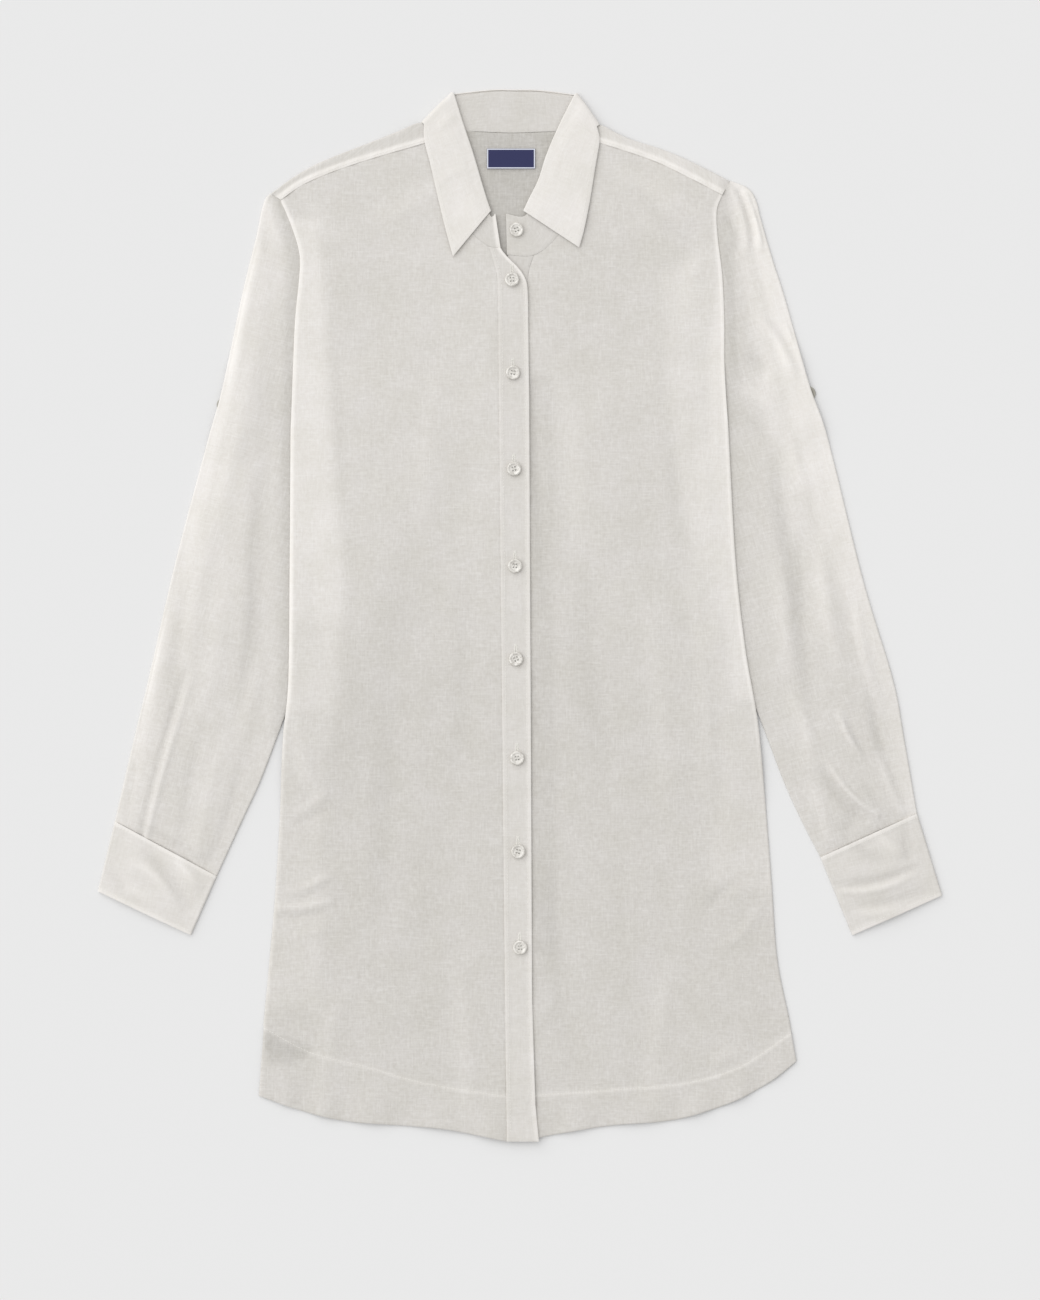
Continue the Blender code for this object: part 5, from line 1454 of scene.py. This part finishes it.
PLACKET_RUMPLE = 0.4
# Above this height the placket's free edge rolls up towards the open neck, softly over this distance
OPEN_FROM = 292.0
OPEN_REACH = 14.0
BUTTON_DIP = 0.3
PLACKET_BACKING = 0.48
STAND_STRIP_BACKING = 0.35


def strip_width(y, table):
    """Width of a strip at each height."""
    table = numpy.array(table, float)
    return numpy.interp(-y, -table[:, 0], table[:, 1])


def placket_height(spots):
    """Height of the placket's middle, without its ridges."""
    reach = numpy.min([numpy.linalg.norm(spots - numpy.array(spot), axis=-1) for spot in BUTTONS], axis=0)
    along = numpy.sin(spots[..., 1] / 14.0 + 0.8 * numpy.sin(spots[..., 1] / 23.0))
    return placket_level(spots) + BAND / 2 - BUTTON_DIP * ramp(reach, 4, 14) + PLACKET_WAVE * along


def build_placket():
    """The strip with the buttonholes."""
    seam = soft_curve(CENTRE_SEAM["right"], even(PLACKET_ROWS))
    far = seam.copy()
    far[:, 0] += strip_width(seam[:, 1], PLACKET_WIDTH)
    shares = numpy.array(PLACKET_SHARES)[None, :, None]
    plan = meet_neck((seam[:, None] + (SEWN_GAP, 0)) * (1 - shares) + far[:, None] * shares, "right")
    reach = numpy.linalg.norm(plan - plan[:, :1], axis=2)
    width = numpy.linalg.norm(plan[:, -1] - plan[:, 0], axis=1)[:, None]
    near = numpy.minimum(reach, width - reach)
    height = placket_height(plan) + PLACKET_RIDGE * ramp(near, 2.6, 1.4)
    height -= PLACKET_EDGE_ROLL * ramp(near, 0, 1.2)
    height += PLACKET_RUMPLE * rumple(plan, "placket") + crease_height(plan, PLACKET_CREASES)
    at_top = ease((plan[..., 1] - OPEN_FROM) / OPEN_REACH)
    height += TOP_ROLL * at_top * ramp(width - reach, 1.0, 3.0)
    points = numpy.concatenate([plan, height[..., None]], axis=-1)
    # Painted highlight: the free edge is whiter, more at the top where it rolls, the sewn edge a little
    backing_and_painted_light = PLACKET_BACKING + (0.3 + 0.2 * at_top) * ramp(width - reach, 1.2, 3.2)
    backing_and_painted_light += 0.05 * ramp(reach, 1.2, 3.2)
    return shell("placket_cloth", points, plan, backing_and_painted_light, linen_doubled, "placket",
                 flat=(0.027, 0.80, 1.0), thickness=1.1)


def build_button_stand():
    """The strip under the placket that the buttons are sewn on."""
    seam = soft_curve(CENTRE_SEAM["left"], even(PLACKET_ROWS)) - (SEWN_GAP, 0)
    near = seam.copy()
    near[:, 0] -= strip_width(seam[:, 1], UNDER_PLACKET_WIDTH) - SEWN_GAP
    shares = even(8)[None, :, None]
    plan = meet_neck(near[:, None] * (1 - shares) + seam[:, None] * shares, "left")
    height = front_level(plan) + CLOTH / 2
    low = soft_curve(HEM_STITCH["left"], even(40))[-1, 1]
    height += HEM_EXTRA * 1.5 * ease((low - plan[..., 1]) / 4)
    points = numpy.concatenate([plan, height[..., None]], axis=-1)
    backing_and_painted_light = numpy.full(points.shape[:2], STAND_STRIP_BACKING)
    return shell("button_stand_cloth", points, plan, backing_and_painted_light, linen_doubled,
                 "under_placket", flat=(0.018, 0.80, 1.0))


placket = build_placket()
build_button_stand()

# %% [markdown]
# ## The neck label
# A woven tape, sewn to the inside of the yoke below the neck seam. It is navy with a paler woven edge
# and is left plain.

# %% Build the label
LABEL_CORNERS = ((-31.1, 401.9), (12.2, 419.9))
LABEL_HEIGHT = 3.1
LABEL_BORDER = 1.3


def build_label():
    """The tape with its paler edge."""
    (x0, y0), (x1, y1) = LABEL_CORNERS
    centre = world([(x0 + x1) / 2, (y0 + y1) / 2, LABEL_HEIGHT])
    size = Matrix.Diagonal(((x1 - x0) * MM, (y1 - y0) * MM, 1, 1))
    mesh = bmesh.new()
    bmesh.ops.create_grid(mesh, x_segments=1, y_segments=1, size=0.5,
                          matrix=Matrix.Translation(centre) @ size)
    for width, index in ((0.2, 0), (LABEL_BORDER, 1)):
        middle = [max(mesh.faces, key=lambda face: face.calc_area())]
        ring = bmesh.ops.inset_region(mesh, faces=middle, thickness=width * MM, use_boundary=True)["faces"]
        for face in ring:
            face.material_index = index
    piece = finished("neck_label_tape", mesh, [tape, tape_border])
    wall = piece.modifiers.new("tape thickness", "SOLIDIFY")
    wall.thickness = 0.7 * MM
    wall.offset = 0.0
    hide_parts("neck_label")
    print(piece.name, len(piece.data.polygons), "faces")


build_label()

# %% [markdown]
# ## Buttons
# Shirt buttons are cast in sheets of pearly polyester, turned on a lathe to a rim with a shallow
# dish, and drilled with four holes. So the profile is spun once round, and the holes are cut with
# four drills. Two bars of thread hold each one down.

# %% Turn, drill and place the buttons
BUTTON_RADIUS = 6.3
BUTTON_HEIGHT = 2.6
BUTTON_BACK = [(0.0, 0.0), (5.0, 0.0), (5.7, 0.25), (6.15, 0.8)]
BUTTON_RIM = [(6.3, 1.4), (6.22, 1.9), (5.95, 2.3), (5.55, 2.52), (5.1, 2.6), (4.7, 2.5), (4.3, 2.2),
              (3.9, 1.92), (3.4, 1.8), (0.0, 1.75)]
BUTTON_STEPS = 64
HOLE_RADIUS = 0.75
HOLE_SPACING = 1.25
COLLAR_BUTTON = (-4.5, 346.9)
COLLAR_BUTTON_TURN = 0.3
TAB_BUTTON_TURN = 0.2
# Degrees that each front button is turned by: nobody sews them all on straight
BUTTON_TURNS = (4, -9, 13, -3, 22, 8, -14, 5)


def turn_button(name, height_share, material):
    """The mesh of a drilled button that stands on the origin."""
    mesh = bmesh.new()
    corners = [mesh.verts.new((x * MM, 0, z * MM * height_share)) for x, z in BUTTON_BACK + BUTTON_RIM]
    edges = [mesh.edges.new(pair) for pair in zip(corners, corners[1:])]
    bmesh.ops.spin(mesh, geom=corners + edges, cent=(0, 0, 0), axis=(0, 0, 1), angle=2 * math.pi,
                   steps=BUTTON_STEPS, use_merge=True, use_duplicate=False)
    bmesh.ops.remove_doubles(mesh, verts=mesh.verts[:], dist=0.01 * MM)
    bmesh.ops.recalc_face_normals(mesh, faces=mesh.faces[:])
    drills = bmesh.new()
    for x in (-HOLE_SPACING, HOLE_SPACING):
        for y in (-HOLE_SPACING, HOLE_SPACING):
            bmesh.ops.create_cone(drills, cap_ends=True, segments=20, radius1=HOLE_RADIUS * MM,
                                  radius2=HOLE_RADIUS * MM, depth=4 * BUTTON_HEIGHT * MM,
                                  matrix=Matrix.Translation((x * MM, y * MM, 0)))
    blank, tool = bpy.data.meshes.new("blank"), bpy.data.meshes.new("drills")
    mesh.to_mesh(blank)
    drills.to_mesh(tool)
    mesh.free()
    drills.free()
    body, cutter = bpy.data.objects.new("blank", blank), bpy.data.objects.new("drills", tool)
    for piece in (body, cutter):
        bpy.context.scene.collection.objects.link(piece)
    drill = body.modifiers.new("drill", "BOOLEAN")
    drill.operation = "DIFFERENCE"
    drill.object = cutter
    drill.solver = "EXACT"
    made = bpy.data.meshes.new_from_object(body.evaluated_get(bpy.context.evaluated_depsgraph_get()))
    made.name = name
    bpy.data.objects.remove(body)
    bpy.data.objects.remove(cutter)
    made.polygons.foreach_set("use_smooth", [True] * len(made.polygons))
    made.materials.clear()
    made.materials.append(material)
    return made


def button_seat(spot, level, thickness):
    """Height of a button's back, over the highest cloth below it."""
    reach = (-BUTTON_RADIUS, 0.0, BUTTON_RADIUS)
    spots = numpy.array([(spot[0] + dx, spot[1] + dy) for dx in reach for dy in reach])
    return level(spots).max() + thickness + SEAM_GAP


def place_button(node, spot, height, mesh, turn):
    """One button that replaces its solid, turned by its own angle in its mesh."""
    data = mesh.copy()
    place = Vector(world([*spot, height]))
    data.transform(Matrix.Translation(place) @ Matrix.Rotation(turn, 4, "Z"))
    data.set_sharp_from_angle(angle=math.radians(50))
    piece = bpy.data.objects.new(node + "_disc", data)
    bpy.context.scene.collection.objects.link(piece)
    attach(piece, "root")
    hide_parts(node)


button_mesh = turn_button("button", 1.0, pearl)
tab_mesh = turn_button("tab_button", TAB_BUTTON_HEIGHT / BUTTON_HEIGHT, pearl_painted_shade)
seats = []
for spot, turn in zip(BUTTONS, BUTTON_TURNS):
    seats.append((spot, button_seat(spot, placket_level, BAND), math.radians(turn)))
seats.append((COLLAR_BUTTON, button_seat(COLLAR_BUTTON, front_level, CLOTH), COLLAR_BUTTON_TURN))
button_nodes = ["button_%d" % (index + 1) for index in range(len(BUTTONS))] + ["button_collar"]
for node, (spot, height, turn) in zip(button_nodes, seats):
    place_button(node, spot, height, button_mesh, turn)
for side in SIDES:
    place_button("button_tab_" + side, TAB_BUTTONS[side], 0.0, tab_mesh, TAB_BUTTON_TURN)
bpy.data.meshes.remove(button_mesh)
bpy.data.meshes.remove(tab_mesh)
print("buttons placed:", len(seats) + len(SIDES))

# %% [markdown]
# ## Thread
# Topstitching holds every doubled edge: it runs 3 to 4 mm in from the edge, a stitch every 2.7 mm.
# Each stitch is a small stretched bead of thread, sunk halfway into the cloth, and a row is one piece.
# A ray dropped on the finished shell finds the height of the cloth under each stitch.

# %% Stitches
STITCH_LENGTH = 2.1
STITCH_PITCH = 2.7
THREAD_THICKNESS = 0.42
STITCH_LIFT = 0.02
# A stitch that would climb by more than this share of its length is left out: it would cross an edge
STEEPEST_STITCH = 0.6
SATIN_LENGTH = 1.5
SATIN_PITCH = 0.5


def surface(pieces):
    """A function that finds the top of these pieces under a point, in the garment's millimetres."""
    bpy.context.view_layer.update()
    graph = bpy.context.evaluated_depsgraph_get()
    trees = [BVHTree.FromObject(piece, graph) for piece in pieces]

    def top(x, y):
        """The height of the highest piece there, or None where there is none."""
        start = Vector(world([x, y, 60.0]))
        hits = [tree.ray_cast(start, Vector((0, 0, -1)))[0] for tree in trees]
        heights = [hit.z / MM for hit in hits if hit is not None]
        return max(heights) if heights else None

    return top


def add_bead(mesh, start, end, thickness):
    """One stitch: a stretched bead between two points in the garment's millimetres."""
    start, end = Vector(world(start)), Vector(world(end))
    turn = (end - start).to_track_quat("X", "Z").to_matrix().to_4x4()
    size = Matrix.Diagonal(((end - start).length / 2, thickness * MM / 2, thickness * MM / 2, 1.0))
    bmesh.ops.create_icosphere(mesh, subdivisions=2, radius=1.0,
                               matrix=Matrix.Translation((start + end) / 2) @ turn @ size)


def stitch_row(mesh, top, line):
    """Stitches along a line on the surface below it."""
    line = numpy.array(line, float)
    length = numpy.linalg.norm(numpy.diff(line, axis=0), axis=1).sum()
    count = max(int(length / STITCH_PITCH), 1)
    made = 0
    for index in range(count):
        ends = spread(line, [index / count, (index + STITCH_LENGTH / STITCH_PITCH) / count])
        heights = [top(*end) for end in ends]
        if None not in heights and abs(heights[0] - heights[1]) < STEEPEST_STITCH * STITCH_LENGTH:
            ends = [(*end, height + STITCH_LIFT) for end, height in zip(ends, heights)]
            add_bead(mesh, *ends, THREAD_THICKNESS)
            made += 1
    return made


def inner_line(outer, inner, distance):
    """A line at a distance from one edge towards another."""
    along = inner - outer
    return outer + along / numpy.linalg.norm(along, axis=1, keepdims=True) * distance


def sewn(name, pieces, lines):
    """One joined piece with all the stitches of these lines, on the top of these pieces."""
    mesh = bmesh.new()
    top = surface(pieces)
    count = sum(stitch_row(mesh, top, line) for line in lines)
    finished(name, mesh, [thread])
    print(name, count, "stitches")


LEAF_STITCH_IN = 3.6
STRIP_STITCH_IN = 3.4
SEAM_STITCH_IN = 2.2
# The placket's rows end above the hem, and the row at its free edge ends just below its top
PLACKET_ROW_ENDS = (-468.0, 322.0)


def leaf_lines():
    """The rows of stitches near the leaf's edges on both fronts."""
    lines = []
    for rows in (COLLAR_RIGHT, COLLAR_LEFT):
        table = soft_curve(rows, even(40))
        roll, edge = table[:, 0:2], table[:, 2:4]
        along_edge = inner_line(edge, roll, LEAF_STITCH_IN)
        end, step = (0, 1) if rows is COLLAR_RIGHT else (-1, -1)
        aside = roll[end + 4 * step] - roll[end]
        aside /= numpy.linalg.norm(aside)
        front = numpy.array([roll[end], along_edge[end]]) + aside * LEAF_STITCH_IN
        lines += [along_edge[3:] if end == 0 else along_edge[:-3], front]
    return lines


def build_topstitching():
    """Every visible row of topstitching, joined by where it is sewn."""
    lines = {"leaf": leaf_lines()}
    seam = soft_curve(CENTRE_SEAM["right"], even(200))
    far = seam[:, 0] + strip_width(seam[:, 1], PLACKET_WIDTH)
    low, high = PLACKET_ROW_ENDS
    at_seam = numpy.stack([seam[:, 0] + STRIP_STITCH_IN, seam[:, 1]], axis=1)
    at_edge = numpy.stack([far - STRIP_STITCH_IN, seam[:, 1]], axis=1)
    above_hem = seam[:, 1] > low
    lines["placket"] = [at_seam[above_hem], at_edge[above_hem & (seam[:, 1] < high)]]
    lines["yoke"] = [soft_curve(YOKE_SEAM[side], even(40)) + (0, SEAM_STITCH_IN) for side in SIDES]
    lines["hem"] = [soft_curve(HEM_STITCH[side], even(80)) for side in SIDES]
    for side in SIDES:
        outer = [numpy.array(SLEEVE_OUTER[side][-1]), numpy.array(CUFF_END[side][0])]
        inner = [numpy.array(SLEEVE_INNER[side][-1]), numpy.array(CUFF_END[side][1])]
        length = numpy.linalg.norm(outer[1] - outer[0])
        lines["cuff_" + side] = []
        for distance in (STRIP_STITCH_IN, length - STRIP_STITCH_IN):
            share = distance / length
            ends = [outer[0] + (outer[1] - outer[0]) * share, inner[0] + (inner[1] - inner[0]) * share]
            lines["cuff_" + side].append(spread(ends, numpy.linspace(0.03, 0.97, 30)))
    sewn("leaf_topstitching", [leaf], lines["leaf"])
    sewn("placket_topstitching", [placket], lines["placket"])
    sewn("yoke_topstitching", [yoke], lines["yoke"])
    sewn("hem_topstitching", list(fronts.values()), lines["hem"])
    for side in SIDES:
        sewn("cuff_%s_topstitching" % side, [cuffs[side]], lines["cuff_" + side])


build_topstitching()

# %% [markdown]
# ## Buttonholes and the thread in the buttons
# A buttonhole is a slit between two columns of close satin stitches, with a bar across its top. Its
# lower end lies under the button, so no bar is made there. The stitches are the same beads as in the
# topstitching, only closer. Two bars of thread go through the four holes of each button.

# %% Buttonholes and button threads
HOLE_TOP = 11.6
HOLE_BOTTOM = -4.0
HOLE_HALF = 0.95
BAR_HALF = 1.7
SATIN_THICKNESS = 0.5
SATIN_LIFT = 0.05
BAR_STITCHES = 4
# Each bar in a button is two threads side by side, on the dish, from hole to hole and a little past
THREAD_ASIDE = 0.22
THREAD_HEIGHT = 1.95
THREAD_PAST_HOLE = 0.3


def build_buttonholes():
    """Satin stitches round the eight upright slits, with a bar at the top of each."""
    mesh = bmesh.new()
    top = surface([placket])
    for x, y in BUTTONS:
        stitches = []
        for level in numpy.arange(y + HOLE_BOTTOM, y + HOLE_TOP, SATIN_PITCH):
            stitches += [(x + side, level, SATIN_LENGTH / 2) for side in (-HOLE_HALF, HOLE_HALF)]
        stitches += [(x, y + HOLE_TOP + step * SATIN_PITCH, BAR_HALF) for step in range(BAR_STITCHES)]
        for middle, level, half in stitches:
            ends = [(middle - half, level), (middle + half, level)]
            heights = [top(*end) for end in ends]
            if None not in heights:
                ends = [(*end, height + SATIN_LIFT) for end, height in zip(ends, heights)]
                add_bead(mesh, *ends, SATIN_THICKNESS)
    finished("buttonholes", mesh, [thread])


def build_button_threads():
    """Two bars of thread through the holes of each button."""
    mesh = bmesh.new()
    for spot, height, turn in seats:
        for sign in (-1, 1):
            for slip in (-THREAD_ASIDE, THREAD_ASIDE):
                side = numpy.array((math.cos(turn), math.sin(turn))) * (sign * HOLE_SPACING + slip)
                up = numpy.array((-math.sin(turn), math.cos(turn))) * (HOLE_SPACING + THREAD_PAST_HOLE)
                ends = [(*(numpy.array(spot) + side + up * end), height + THREAD_HEIGHT) for end in (-1, 1)]
                add_bead(mesh, *ends, THREAD_THICKNESS)
    finished("button_threads", mesh, [thread])


build_buttonholes()
build_button_threads()
faces = sum(len(piece.data.polygons) for piece in bpy.data.objects if piece.type == "MESH")
print("faces before modifiers:", faces)

# %% [markdown]
# ## Sizes
# The box of the solids and the box of the finished dress are kept beside each other, so that a
# reader can see that the cloth stays on its solids.

# %% Keep the sizes and finish


def visual_box():
    """Corners of the box round every piece with its modifiers."""
    bpy.context.view_layer.update()
    graph = bpy.context.evaluated_depsgraph_get()
    corners = []
    for piece in bpy.data.objects:
        if piece.type == "MESH" and piece is not floor and not piece.hide_render:
            shape = piece.evaluated_get(graph)
            corners += [shape.matrix_world @ Vector(corner) for corner in shape.bound_box]
    return [min(c[i] for c in corners) for i in range(3)], [max(c[i] for c in corners) for i in range(3)]


low, high = visual_box()
print("visual box in mm:", [round(1000 * (b - a), 1) for a, b in zip(low, high)])
